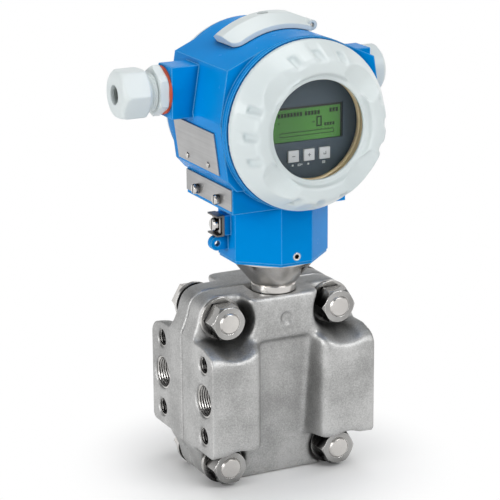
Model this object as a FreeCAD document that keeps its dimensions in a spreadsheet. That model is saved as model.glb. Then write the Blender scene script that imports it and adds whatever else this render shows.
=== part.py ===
"""Differential pressure transmitter: two bolted process flanges, a neck, and a two-chamber housing.

Frame: +Z up, -Y is the display side, the origin is the middle of the flange bottoms on their split plane.
Sizes are millimetres. Every size that can be set by itself is a cell of the sheet below.
"""
import FreeCAD, Part
import os
import re
import Sketcher

SIZES = {
    # Clearances: a running fit, a moving gap, and the room under a key
    "fit": 0.05,
    "gap": 0.3,
    # Process flanges
    "seat_depth": 15,
    "seam_half": 0.6,
    "seam_depth": 2.5,
    "web_top_depth": 26.5,
    "web_foot_depth": 18.5,
    "block_depth": 29,
    "block_rise": 29,
    "block_half": 22,
    "block_round": 5,
    "boss_depth": 40.2,
    "bolt_x": 34,
    "bolt_z": 42,
    "pad_proud": 4.3,
    "port_y": 27,
    "port_drop": 0.5,
    "boss_half_height": 31,
    "boss_inner_x": 20,
    "boss_foot_x": 11,
    "boss_slope_run": 14,
    "boss_slope_rise": 4,
    "boss_top_round": 8,
    "boss_low_round": 4,
    "block_top_round": 1.5,
    "pocket_room": 1.2,
    "pocket_draft": 12,
    "dimple_radius": 4,
    "dimple_depth": 1,
    "dimple_drop": 11,
    # Process ports, the tapped holes beside them and the ducts to the cell
    "port_radius": 9.1,
    "port_depth": 15,
    "port_mouth_radius": 10.3,
    "tap_radius": 4.95,
    "tap_depth": 17,
    "tap_pitch": 41.3,
    "tap_mouth_radius": 6,
    "duct_radius": 2.5,
    "duct_x": 22,
    "plug_socket_flats": 8,
    "plug_socket_depth": 6,
    # Flange bolts
    "bolt_radius": 6,
    "bolt_hole_radius": 6.6,
    "bolt_proud": 0.9,
    "bolt_head_height": 7.5,
    "nut_flats": 18,
    "nut_height": 10.8,
    "washer_radius": 12,
    "washer_thickness": 2.5,
    # Sensor cell and neck
    "cell_radius": 33,
    "cell_half_depth": 12,
    "chamber": 1.5,
    "diaphragm_room": 2.7,
    "diaphragm_thickness": 0.4,
    "flange_seal_width": 3,
    "neck_y": 14,
    "stem_radius": 11,
    "collar_radius": 12.4,
    "collar_height": 3.7,
    "cone_radius": 24,
    "neck_rise": 20,
    "spigot_radius": 20,
    "spigot_height": 23,
    "neck_seal_height": 2,
    "neck_seal_depth": 1.6,
    # Housing casting
    "barrel_radius": 47,
    "rim_step": 0.2,
    "rim_length": 2,
    "front_rim": 38,
    "rear_rim": 36,
    "shoulder_front": 33.5,
    "shoulder_rear": 31,
    "corner_inset": 3.5,
    "corner_z": 32,
    "side_proud": 1,
    "side_z": 4,
    "low_inset": 3.2,
    "yoke_step": 5.3,
    "yoke_slope": 6,
    "neck_ledge": 1,
    "yoke_half_depth": 28,
    "neck_length": 33,
    "neck_flat": 28,
    "neck_side": 28.5,
    "neck_front_half": 9.3,
    "neck_side_half": 10.4,
    "neck_chamfer": 1.5,
    # Chambers
    "thread_wall": 4.8,
    "chamber_step": 4,
    "thread_length": 10,
    "partition_half": 8,
    "seal_seat_width": 2.6,
    "seal_seat_depth": 1.6,
    "wire_hole_radius": 4,
    # Cable entries
    "entry_proud": 13,
    "entry_y": 11.5,
    "entry_z": 15.5,
    "entry_half_height": 14,
    "entry_front": 12,
    "entry_back": 11,
    "entry_chamfer": 7,
    "entry_radius": 10,
    # Screw covers
    "cover_step": 1,
    "cover_rim": 3.5,
    "cover_chamfer": 1,
    "crown_inset": 7.8,
    "crown_width": 7.9,
    "crown_round": 3.5,
    "crown_inner_round": 2,
    "crown_lean": 1,
    "crown_height": 18.7,
    "crown_flank": 2.3,
    "bezel_height": 14.9,
    "skirt_length": 8.5,
    "skirt_wall": 3.5,
    "window_ring": 3.7,
    "glass_lap": 6.4,
    "glass_thickness": 6,
    "lip": 2.6,
    "retainer_lap": 3,
    "retainer_length": 3.2,
    "notch_radius": 18,
    "notch_depth": 4.6,
    "scallop_radius": 2.6,
    "scallop_length": 11,
    "scallop_spread": 20,
    # Key flap over the outside keys
    "flap_rise": 7.5,
    "flap_band": 2.9,
    "flap_top_half": 4,
    "flap_half_angle": 36,
    "flap_pin_angle": 20,
    "flap_front": 14,
    "flap_wall": 2.4,
    "flap_left_wall": 4,
    "flap_right_wall": 3,
    "flap_corner_round": 5,
    "flap_tail_angle": 8,
    "pin_rise": 3.6,
    "pin_radius": 1.2,
    "knuckle_radius": 2.8,
    "ear_half": 4,
    "flap_screw_x": 6,
    "flap_screw_radius": 1.4,
    "flap_screw_head_radius": 2.8,
    "flap_screw_head": 1.8,
    "flap_screw_length": 6.5,
    "flap_screw_floor": 1.6,
    "flap_screw_wall": 1.2,
    "post_height": 2.2,
    "key_radius": 1.9,
    "key_pitch": 5.3,
    "key_first_x": 0.4,
    "key_proud": 1.8,
    "key_well": 6,
    "key_length": 6.4,
    # Display and electronics
    "display_y": 40,
    "bezel_step": 0.5,
    "bezel_thickness": 3,
    "lcd_half_width": 20.7,
    "lcd_half_height": 9.3,
    "lcd_z": 1.5,
    "lcd_recess": 0.8,
    "board_step": 4,
    "board_thickness": 1.6,
    "insert_room": 3,
    "display_key_size": 6.2,
    "display_key_pitch": 9.3,
    "display_key_z": 15.4,
    "display_key_proud": 1.2,
    "display_key_room": 1.1,
    # Terminal side
    "terminal_half_width": 26,
    "terminal_half_height": 13,
    "terminal_depth": 12,
    "terminal_pitch": 16,
    "terminal_screw_radius": 3.2,
    "terminal_screw_head": 2,
    # Cable gland and blind plug
    "seal_thickness": 1.4,
    "seal_radius": 13,
    "collar_flats": 24,
    "collar_length": 5.2,
    "gland_thread_radius": 10.6,
    "gland_thread_length": 16,
    "shank_length": 12,
    "dome_flats": 25,
    "dome_length": 16.5,
    "dome_gap": 5,
    "dome_round": 5.5,
    "dome_lip": 0.6,
    "cable_radius": 4.6,
    "insert_wall": 3.4,
    "plug_radius": 13.4,
    "plug_length": 9,
    "plug_chamfer": 2,
    # Plates and small fasteners on the housing
    "plate_thickness": 0.8,
    "nameplate_length": 50,
    "nameplate_drop": 2.5,
    "nameplate_height": 23,
    "rivet_radius": 1.6,
    "rivet_pitch": 25.4,
    "rivet_rise": 3.5,
    "rivet_proud": 0.9,
    "rivet_length": 4,
    "tag_length": 55,
    "tag_rise": 2,
    "tag_height": 11.5,
    "tag_room": 0.5,
    "tag_screw_radius": 2.8,
    "tag_screw_height": 3.2,
    "tag_screw_rise": 3.5,
    "tag_screw_pitch": 25.7,
    "slot_width": 0.9,
    "set_screw_radius": 2.2,
    "set_screw_rise": 5,
    "set_screw_flats": 2.5,
    "ground_rise": 21,
    "ground_boss_half": 5.5,
    "ground_boss_x": 32.5,
    "ground_screw_radius": 2,
    "ground_head_radius": 3.6,
    "ground_head": 2.6,
    "clamp_thickness": 1.2,
    "clamp_half": 5.8,
    "clamp_leg": 4.6,
    "ground_washer_half": 4.4,
    "eye_x": 35,
    "eye_rise": 10.5,
    "eye_radius": 4,
    "eye_hole_radius": 1.6,
    "eye_half_width": 2,
}

# What follows from the sizes: heights stacked from the flange bottoms up, fits counted from a neighbour
DERIVED = {
    "flange_height": "2 * (bolt_z + washer_radius)",
    "pad_x": "bolt_x + washer_radius + pad_proud",
    "port_z": "flange_height / 2 - port_drop",
    "block_bottom": "port_z + block_rise",
    "dimple_height": "flange_height - dimple_drop",
    "nut_pocket_radius": "washer_radius + pocket_room",
    "diaphragm_radius": "cell_radius - gap - flange_seal_width - diaphragm_room",
    "neck_bottom": "flange_height + neck_rise",
    "yoke_bottom": "neck_bottom + neck_length",
    "axis_z": "yoke_bottom + barrel_radius",
    "rim_radius": "barrel_radius - rim_step",
    "thread_radius": "rim_radius - thread_wall",
    "chamber_radius": "thread_radius - chamber_step",
    "seal_seat_radius": "thread_radius + seal_seat_width",
    "corner_x": "barrel_radius - corner_inset",
    "side_x": "barrel_radius + side_proud",
    "low_x": "barrel_radius - low_inset",
    "yoke_x": "low_x - yoke_step",
    "yoke_right_x": "neck_side + neck_ledge",
    "yoke_z": "axis_z - tag_top - tag_room",
    "low_z": "yoke_z - yoke_slope",
    "entry_x": "barrel_radius + entry_proud",
    "cover_radius": "barrel_radius - cover_step",
    "crown_foot_radius": "cover_radius - cover_chamfer",
    "crown_radius": "cover_radius - crown_inset",
    "crown_inner_radius": "crown_radius - crown_width",
    "window_radius": "crown_inner_radius - window_ring",
    "glass_radius": "window_radius + glass_lap",
    "retainer_radius": "window_radius + retainer_lap",
    "insert_radius": "chamber_radius - insert_room",
    "board_radius": "insert_radius - board_step",
    "bezel_radius": "board_radius - bezel_step",
    "flap_radius": "barrel_radius + flap_rise",
    "pin_offset": "barrel_radius + pin_rise",
    "nameplate_top": "axis_z - nameplate_drop",
    "nameplate_low": "nameplate_top - nameplate_height",
    "tag_low": "yoke_bottom + tag_rise",
    "tag_top": "tag_low + tag_height",
    "tag_screw_z": "tag_low + tag_screw_rise",
    "set_screw_z": "neck_bottom + set_screw_rise",
    "ground_z": "neck_bottom + ground_rise",
    "eye_z": "neck_bottom + eye_rise",
}
CELLS = {**{alias: str(number) for alias, number in SIZES.items()},
         **{alias: "=" + text for alias, text in DERIVED.items()}}

doc = FreeCAD.newDocument("transmitter")
sheet = doc.addObject("Spreadsheet::Sheet", "Dims")
for row, alias in enumerate(CELLS, start=1):
    sheet.set(f"A{row}", alias)
    sheet.setAlias(f"B{row}", alias)
for row, content in enumerate(CELLS.values(), start=1):
    sheet.set(f"B{row}", content)
doc.recompute()

V = FreeCAD.Vector
UP = V(0, 0, 1)
AXES = {"x": V(1, 0, 0), "-x": V(-1, 0, 0), "y": V(0, 1, 0), "-y": V(0, -1, 0), "z": UP, "-z": V(0, 0, -1)}
SIDES = (-1, 1)
NODES = []


# Expressions, placing and primitives
def bound(text):
    """The text with every size name turned into a reference to its cell."""
    return re.sub(r"[a-z]\w*", lambda word: "Dims." + word[0] if word[0] in CELLS else word[0], str(text))


def number_of(text):
    return float(sheet.evalExpression(bound(text)))


def drive(piece, **sizes):
    for prop, text in sizes.items():
        piece.setExpression(prop, bound(text))
    return piece


def place(piece, at, axis="z", spin=0):
    """Stand a piece's own Z along an axis, turned by spin degrees about it, its origin at three sizes."""
    direction = AXES[axis] if isinstance(axis, str) else axis
    rotation = FreeCAD.Rotation(UP, direction).multiply(FreeCAD.Rotation(UP, spin))
    piece.Placement = FreeCAD.Placement(V(), rotation)
    for letter, text in zip("xyz", at):
        piece.setExpression(f"Placement.Base.{letter}", bound(text))
    return piece


def cylinder(name, radius, length, at, axis="z"):
    piece = doc.addObject("Part::Cylinder", name)
    return place(drive(piece, Radius=radius, Height=length), at, axis)


def cone(name, start_radius, end_radius, length, at, axis="z"):
    piece = doc.addObject("Part::Cone", name)
    return place(drive(piece, Radius1=start_radius, Radius2=end_radius, Height=length), at, axis)


def hexagon(name, flats, length, at, axis="z", spin=0):
    piece = doc.addObject("Part::Prism", name)
    piece.Polygon = 6
    return place(drive(piece, Circumradius=f"({flats}) / 2 / cos(30)", Height=length), at, axis, spin)


def box(name, low, high):
    """A box from its low corner to its high corner."""
    piece = doc.addObject("Part::Box", name)
    spans = [f"({top}) - ({bottom})" for bottom, top in zip(low, high)]
    return place(drive(piece, Length=spans[0], Width=spans[1], Height=spans[2]), low)


def fuse(name, *pieces):
    piece = doc.addObject("Part::MultiFuse", name)
    piece.Shapes = list(pieces)
    piece.Refine = True
    return piece


def cut(name, base, *tools):
    piece = doc.addObject("Part::Cut", name)
    piece.Base = base
    piece.Tool = tools[0] if len(tools) == 1 else fuse(name + "_tools", *tools)
    piece.Refine = True
    return piece


def common(name, *pieces):
    piece = doc.addObject("Part::MultiCommon", name)
    piece.Shapes = list(pieces)
    piece.Refine = True
    return piece


def group(name, pieces):
    piece = doc.addObject("Part::Compound", name)
    piece.Links = list(pieces)
    return piece


def mirrored(name, source, normal, base=("0", "0", "0")):
    piece = doc.addObject("Part::Mirroring", name)
    piece.Source = source
    piece.Normal = normal
    for letter, text in zip("xyz", base):
        piece.setExpression(f"Base.{letter}", bound(text))
    return piece


def rounded(name, base, choices):
    """Fillets on the edges that each (test, radius) choice picks, the test being asked of an edge's box."""
    doc.recompute()
    piece = doc.addObject("Part::Fillet", name)
    piece.Base = base
    picked = []
    for index, edge in enumerate(base.Shape.Edges, start=1):
        for test, radius in choices:
            if test(edge.BoundBox):
                picked.append((index, number_of(radius), number_of(radius)))
                break
    piece.Edges = picked
    return piece


def near(first, text):
    return abs(first - number_of(text)) < 1e-4


def standing_at(across, along):
    """Picks the upright edge at a place in X and Y."""
    return lambda span: span.ZLength > 1 and near(span.XMin, across) and near(span.YMin, along)


def lying_at(along, up):
    """Picks the edge along X at a place in Y and Z."""
    return lambda span: span.XLength > 1 and near(span.YMin, along) and near(span.ZMin, up)


def ring_of(radius, axis, face):
    """Picks the round edge of a radius on a turned piece's end face, at a place along its X or Y axis."""
    return lambda span: near(span.ZLength / 2, radius) and near(getattr(span, axis + "Min"), face)


# Sketched bodies: turned on their own Z, or extruded along it
def sketch_outline(body, role, corners):
    """A closed polygon whose corners are held by bound distances from the sketch's origin."""
    plane = next(feature for feature in body.Origin.OriginFeatures if feature.Role == role)
    sketch = body.newObject("Sketcher::SketchObject", body.Name + "_outline")
    sketch.AttachmentSupport = (plane, [""])
    sketch.MapMode = "FlatFace"
    points = [V(number_of(across), number_of(along), 0) for across, along in corners]
    count = len(points)
    for index, point in enumerate(points):
        sketch.addGeometry(Part.LineSegment(point, points[(index + 1) % count]))
    for index in range(count):
        sketch.addConstraint(Sketcher.Constraint("Coincident", index, 2, (index + 1) % count, 1))
    for index, corner in enumerate(corners):
        for kind, text, axis in zip(("DistanceX", "DistanceY"), corner, (-2, -1)):
            if text == "0":
                sketch.addConstraint(Sketcher.Constraint("PointOnObject", index, 1, axis))
                continue
            held = sketch.addConstraint(Sketcher.Constraint(kind, -1, 1, index, 1, number_of(text)))
            label = f"{kind}{index}"
            sketch.renameConstraint(held, label)
            sketch.setExpression(f"Constraints.{label}", bound(text))
    return sketch


def turned(name, profile, at, axis="z"):
    """A body turned about its own Z from (radius, height) corners."""
    body = doc.addObject("PartDesign::Body", name)
    sketch = sketch_outline(body, "XZ_Plane", profile)
    lathe = body.newObject("PartDesign::Revolution", name + "_turn")
    lathe.Profile = sketch
    lathe.ReferenceAxis = (sketch, ["V_Axis"])
    lathe.Angle = 360
    return place(body, at, axis)


def extruded(name, outline, length, at, axis="z"):
    """A body pushed along its own Z; along -y the outline's axes are the row's X and Z."""
    body = doc.addObject("PartDesign::Body", name)
    sketch = sketch_outline(body, "XY_Plane", outline)
    pad = body.newObject("PartDesign::Pad", name + "_pad")
    pad.Profile = sketch
    drive(pad, Length=length)
    return place(body, at, axis)


def sideways(name, outline, start, length):
    """A body pushed along X from a start, with (Y, Z) corners."""
    turned_outline = [("0" if up == "0" else f"-({up})", along) for along, up in outline]
    return extruded(name, turned_outline, length, (start, "0", "0"), "x")


def tube(name, outer, inner, length, at, axis="z"):
    return turned(name, [(inner, "0"), (outer, "0"), (outer, length), (inner, length)], at, axis)


def node(piece):
    NODES.append(piece)
    return piece


# Process flanges: one casting, used twice, the rear one turned round
PAD_LOW = "(port_z - boss_half_height)"
PAD_HIGH = "(port_z + boss_half_height)"
BOLTS = [(side, level) for side in SIDES for level in SIDES]


def bolt_at(side, level, y):
    return (f"{side} * bolt_x", y, f"flange_height / 2 + ({level} * bolt_z)")


def side_hole(name, side, height, radius, depth, mouth_radius):
    """A drilled hole into a side pad, with a countersunk mouth and a drill point."""
    profile = [
        ("0", "0"), (mouth_radius, "0"), (radius, f"{mouth_radius} - {radius}"), (radius, depth),
        ("0", f"{depth} + {radius} / 2"),
    ]
    return turned(name, profile, (f"{side} * pad_x", "-port_y", height), "x" if side < 0 else "-x")


def lump(name, plan, plan_rounds, bottom, top, section, section_rounds, left, right):
    """A cast lump: an upright plan of (X, Y) corners met with a (Y, Z) section, soft at the front."""
    upright = extruded(name + "_plan", plan, f"{top} - {bottom}", ("0", "0", bottom))
    lying = sideways(name + "_section", section, left, f"{right} - ({left})")
    soft_plan = rounded(
        name + "_plan_soft", upright, [(standing_at(*spot), radius) for spot, radius in plan_rounds]
    )
    soft_section = rounded(
        name + "_section_soft", lying, [(lying_at(*spot), radius) for spot, radius in section_rounds]
    )
    return common(name, soft_plan, soft_section)


def flange_boss(side):
    """The boss round a port: upright inside and outside, its top sloping down to the front."""
    name, left, right = ("left_boss", "-pad_x", "0") if side < 0 else ("right_boss", "0", "pad_x")
    back, front = "-seat_depth / 2", "-boss_depth"
    inner = f"{side} * boss_inner_x"
    plan = [
        (f"{side} * pad_x", back), (f"{side} * pad_x", front), (inner, front),
        (f"{side} * boss_foot_x", back),
    ]
    slope_foot = f"{PAD_HIGH} - boss_slope_rise"
    slope_top = "boss_slope_run - boss_depth"
    section = [
        (back, PAD_LOW), (front, PAD_LOW), (front, slope_foot), (slope_top, PAD_HIGH), (back, PAD_HIGH)
    ]
    section_rounds = [
        ((front, PAD_LOW), "boss_low_round"), ((front, slope_foot), "boss_top_round"),
        ((slope_top, PAD_HIGH), "boss_top_round"),
    ]
    return lump(
        name, plan, [((inner, front), "boss_top_round")], PAD_LOW, PAD_HIGH, section, section_rounds,
        left, right,
    )


def flange_block():
    """The block over the web, in front of the stem."""
    back, front = "-seat_depth / 2", "-block_depth"
    plan = [("block_half", back), ("-block_half", back), ("-block_half", front), ("block_half", front)]
    plan_rounds = [((f"{side} * block_half", front), "block_round") for side in SIDES]
    section = [
        (back, "block_bottom"), (front, "block_bottom"), (front, "flange_height"), (back, "flange_height")
    ]
    section_rounds = [
        ((front, "block_bottom"), "block_top_round"), ((front, "flange_height"), "block_top_round"),
    ]
    return lump("flange_block", plan, plan_rounds, "block_bottom", "flange_height", section, section_rounds,
                "-block_half", "block_half")


def cheek_outline(inset, foot):
    """The eight corners of the flange's outline, between the lobes and the side pads."""
    edge, pad = f"(bolt_x + washer_radius - {inset})", f"(pad_x - {inset})"
    low, high = "washer_radius", "flange_height - washer_radius"
    half = [("bolt_x", foot), (edge, low), (pad, PAD_LOW), (pad, PAD_HIGH), (edge, high),
            ("bolt_x", f"flange_height - {inset}")]
    return half + [(f"-({across})", up) for across, up in reversed(half)]


def flange_plate(name, inset, start):
    """The flat plate of a flange, with a lobe round each bolt; its foot is never drawn in."""
    reach = f"seat_depth - {start}"
    lobes = [
        cylinder(
            f"{name}_lobe_{n}", f"washer_radius - {inset}", reach, bolt_at(side, level, f"-{start}"), "-y"
        )
        for n, (side, level) in enumerate(BOLTS)
    ]
    plate = extruded(f"{name}_plate", cheek_outline(inset, "0"), reach, ("0", f"-{start}", "0"), "-y")
    return fuse(name, plate, *lobes)


def flange_casting():
    face = flange_plate("flange_face", "seam_depth", "0")
    body = flange_plate("flange_body", "0", "seam_half")
    web_top = "block_bottom + boss_low_round"
    web_section = [
        ("-seat_depth / 2", "0"), ("-web_foot_depth", "0"), ("-web_top_depth", web_top),
        ("-seat_depth / 2", web_top),
    ]
    web = sideways("flange_web", web_section, "-bolt_x", "2 * bolt_x")
    blank = fuse("flange_blank", face, body, web, flange_block(), flange_boss(-1), flange_boss(1))
    cuts = []
    reach = "2 * boss_depth"
    for n, (side, level) in enumerate(BOLTS):
        draft = f"({reach} - seat_depth) * tan(pocket_draft)" if level > 0 else "0"
        bolt_profile = [
            ("0", "-gap"), ("bolt_hole_radius", "-gap"), ("bolt_hole_radius", "seat_depth"),
            ("nut_pocket_radius", "seat_depth"), (f"nut_pocket_radius + {draft}", reach), ("0", reach),
        ]
        cuts.append(turned(f"bolt_hole_{n}", bolt_profile, bolt_at(side, level, "0"), "-y"))
    for side, hand, inward in ((-1, "left", "x"), (1, "right", "-x")):
        cuts.append(
            side_hole(f"{hand}_port", side, "port_z", "port_radius", "port_depth", "port_mouth_radius")
        )
        for level in SIDES:
            height = f"port_z + ({level} * tap_pitch / 2)"
            tap = f"{hand}_tap_{level + 1}"
            cuts.append(side_hole(tap, side, height, "tap_radius", "tap_depth", "tap_mouth_radius"))
        duct_foot = (f"{side} * (pad_x - port_depth)", "-port_y", "port_z")
        duct_reach = "pad_x - port_depth - duct_x + duct_radius"
        cuts.append(cylinder(f"{hand}_duct", "duct_radius", duct_reach, duct_foot, inward))
        duct_end = (f"{side} * duct_x", "-port_y", "port_z")
        cuts.append(cylinder(f"{hand}_duct_end", "0.8 * duct_radius", "port_y", duct_end, "y"))
    pocket_reach = "cell_half_depth + chamber"
    cuts.append(cylinder("cell_pocket", "cell_radius + gap", pocket_reach, ("0", "0", "port_z"), "-y"))
    return cut("flange_casting", blank, *cuts)


casting = flange_casting()
STEM_BOTTOM = "(port_z + cell_radius)"
notch_low = f"{STEM_BOTTOM} - gap"
stem_hole = cylinder("stem_hole", "stem_radius + gap", "flange_height", ("0", "-neck_y", notch_low))
stem_slot = box(
    "stem_slot",
    ("-stem_radius - gap", "-neck_y", notch_low),
    ("stem_radius + gap", "gap", "2 * flange_height"),
)
dimple = cylinder("dimple", "dimple_radius", "dimple_depth", ("0", "-block_depth", "dimple_height"), "y")
node(cut("front_process_flange", casting, stem_hole, stem_slot, dimple))
node(mirrored("rear_process_flange", casting, V(0, 1, 0)))


# Flange bolts run from hex heads at the rear to nuts at the front, each on a washer
def flange_fasteners():
    bolts, washers, nuts = [], [], []
    washer_face = "(seat_depth + washer_thickness)"
    for n, (side, level) in enumerate(BOLTS):
        reach = f"2 * {washer_face} + nut_height + bolt_proud"
        shank = turned(
            f"bolt_shank_{n}",
            [("0", "0"), ("bolt_radius", "0"), ("bolt_radius", f"{reach} - bolt_proud"),
             ("bolt_radius - bolt_proud", reach), ("0", reach)],
            bolt_at(side, level, washer_face), "-y",
        )
        head = hexagon(
            f"bolt_head_{n}", "nut_flats", "bolt_head_height", bolt_at(side, level, washer_face), "y"
        )
        bolts.append(fuse(f"flange_bolt_{n}", shank, head))
        for face, way in ((f"-{washer_face}", "y"), (washer_face, "-y")):
            where = bolt_at(side, level, face)
            name = f"front_washer_{n}" if way == "y" else f"rear_washer_{n}"
            washers.append(tube(name, "washer_radius", "bolt_hole_radius", "washer_thickness", where, way))
        where = bolt_at(side, level, f"-{washer_face}")
        blank_foot = bolt_at(side, level, f"gap - {washer_face}")
        blank = hexagon(f"nut_blank_{n}", "nut_flats", "nut_height + 2 * gap", blank_foot, "-y")
        crest = "(nut_flats / 2 / cos(30) + fit)"
        bevel = "nut_height / 8"
        chamfer = turned(
            f"nut_bevel_{n}",
            [
                ("bolt_radius + fit", "0"), ("nut_flats / 2", "0"), (crest, bevel),
                (crest, f"nut_height - {bevel}"), ("nut_flats / 2", "nut_height"),
                ("bolt_radius + fit", "nut_height"),
            ],
            where,
            "-y",
        )
        nuts.append(common(f"flange_nut_{n}", blank, chamfer))
    return group("flange_bolts", bolts), group("flange_washers", washers), group("flange_nuts", nuts)


for fasteners in flange_fasteners():
    node(fasteners)


def port_plugs():
    plugs = []
    for way, side in (("front", -1), ("rear", 1)):
        mouth = ("pad_x", f"{side} * port_y", "port_z")
        blank = cylinder(f"{way}_plug_blank", "port_radius - fit", "port_depth", mouth, "-x")
        socket = hexagon(f"{way}_plug_socket", "plug_socket_flats", "plug_socket_depth", mouth, "-x")
        plugs.append(cut(f"{way}_port_plug", blank, socket))
    return group("port_plugs", plugs)


node(port_plugs())


# Sensor cell: a disc between the flanges, and a stem that widens to the cone under the housing
def sensor_cell():
    disc = cylinder(
        "cell_disc", "cell_radius", "2 * cell_half_depth", ("0", "-cell_half_depth", "port_z"), "y"
    )
    collar_top = "flange_height + collar_height"
    cone_top = "(neck_bottom - gap)"
    groove = "(neck_bottom + spigot_height / 2)"
    spigot = "(spigot_radius - fit)"
    profile = [
        ("0", STEM_BOTTOM), ("stem_radius", STEM_BOTTOM), ("stem_radius", "flange_height"),
        ("collar_radius", "flange_height"), ("collar_radius", collar_top),
        ("collar_radius - 2 * gap", collar_top), ("collar_radius", f"{collar_top} + 2 * gap"),
        ("cone_radius", f"{cone_top} - collar_height / 3"), ("cone_radius", cone_top), (spigot, cone_top),
        (spigot, groove), (f"{spigot} - neck_seal_depth", groove),
        (f"{spigot} - neck_seal_depth", f"{groove} + neck_seal_height"),
        (spigot, f"{groove} + neck_seal_height"), (spigot, "neck_bottom + spigot_height"),
        ("0", "neck_bottom + spigot_height"),
    ]
    stem = turned("cell_stem", profile, ("0", "-neck_y", "0"))
    weld = box("cell_weld", ("-stem_radius / 2", "-cell_half_depth", f"{STEM_BOTTOM} - stem_radius"),
               ("stem_radius / 2", "stem_radius - neck_y", f"{STEM_BOTTOM} + gap"))
    return fuse("sensor_cell", disc, stem, weld)


node(sensor_cell())
node(
    tube(
        "neck_seal", "spigot_radius - 2 * fit", "spigot_radius - fit - neck_seal_depth",
        "neck_seal_height", ("0", "-neck_y", "neck_bottom + spigot_height / 2"),
    )
)
for way, out in (("front", "-y"), ("rear", "y")):
    sign = "-1" if way == "front" else "1"
    face = ("0", f"{sign} * cell_half_depth", "port_z")
    node(cylinder(f"{way}_diaphragm", "diaphragm_radius", "diaphragm_thickness", face, out))
    node(
        tube(
            f"{way}_flange_seal", "cell_radius - gap", "cell_radius - gap - flange_seal_width", "chamber",
            face, out,
        )
    )


# Housing: a barrel along Y, a shouldered body, cable entries, a yoke and an eight-sided neck, cast as one
def from_neck(distance):
    """A Y position counted from the neck's axis, towards the rear."""
    return f"({distance}) - neck_y"


def shoulder_outline(room="0"):
    """Half outline from where the sloping top leaves the barrel, down the leaning side to the yoke."""
    across, up, bend = f"(corner_x + {room})", f"(corner_z + {room})", f"(barrel_radius + {room})"
    rise = f"(atan({up} / {across}) + acos({bend} / sqrt({across} ^ 2 + {up} ^ 2)))"
    half = [
        (f"{bend} * cos{rise}", f"axis_z + {bend} * sin{rise}"), (across, f"axis_z + {up}"),
        ("side_x", "axis_z + side_z"), ("low_x", "axis_z - low_z"),
    ]
    foot = [("yoke_right_x", "axis_z - yoke_z"), ("-yoke_x", "axis_z - yoke_z")]
    return half + foot + [(f"-({across})", up) for across, up in reversed(half)]


def neck_octagon(inset):
    front, side = f"(neck_flat - {inset})", f"(neck_side - {inset})"
    half = [
        ("neck_front_half", f"-{front}"), (side, "-neck_side_half"), (side, "neck_side_half"),
        ("neck_front_half", front),
    ]
    return half + [(f"-({across})", along) for across, along in reversed(half)]


def side_at(height):
    """How far the leaning side stands from the middle at a height."""
    return f"(side_x - (axis_z + side_z - ({height})) * (side_x - low_x) / (side_z + low_z))"


RIVET_Z = "(nameplate_low + rivet_rise)"


def rivet_foot(side):
    return (
        f"rivet_length - {side_at(RIVET_Z)} - plate_thickness", from_neck(f"{side} * rivet_pitch / 2"),
        RIVET_Z,
    )


def tag_foot(side):
    return (
        "rivet_length - yoke_x - plate_thickness", from_neck(f"{side} * tag_screw_pitch / 2"),
        "tag_screw_z",
    )


def entry_boss(side):
    hand = "left" if side < 0 else "right"
    middle = "axis_z + entry_z"
    outline = [
        ("-entry_front", "-entry_half_height"), ("entry_back - entry_chamfer", "-entry_half_height"),
        ("entry_back", "entry_chamfer - entry_half_height"),
        ("entry_back", "entry_half_height - entry_chamfer"),
        ("entry_back - entry_chamfer", "entry_half_height"), ("-entry_front", "entry_half_height"),
    ]
    inward = "entry_x - chamber_radius / 2"
    body = extruded(f"{hand}_entry", outline, inward, (f"{side} * entry_x", from_neck("entry_y"), middle))
    roll = FreeCAD.Rotation(V(0, 1, 0), V(0, 0, -side), V(-side, 0, 0), "XYZ")
    body.Placement = FreeCAD.Placement(body.Placement.Base, roll)
    return body


PIN_X = "(pin_offset * sin(flap_pin_angle))"
PIN_Z = "(axis_z + pin_offset * cos(flap_pin_angle))"
KEY_X = [f"(key_first_x + {n} * key_pitch)" for n in range(3)]


def key_floor(across):
    """Height of the barrel's surface above a point across it."""
    return f"(axis_z + sqrt(barrel_radius ^ 2 - {across} ^ 2))"


POST_TOP = f"({key_floor('flap_screw_x')} + post_height)"
HEAD_SEAT = f"({POST_TOP} + gap + flap_screw_floor)"


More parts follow.
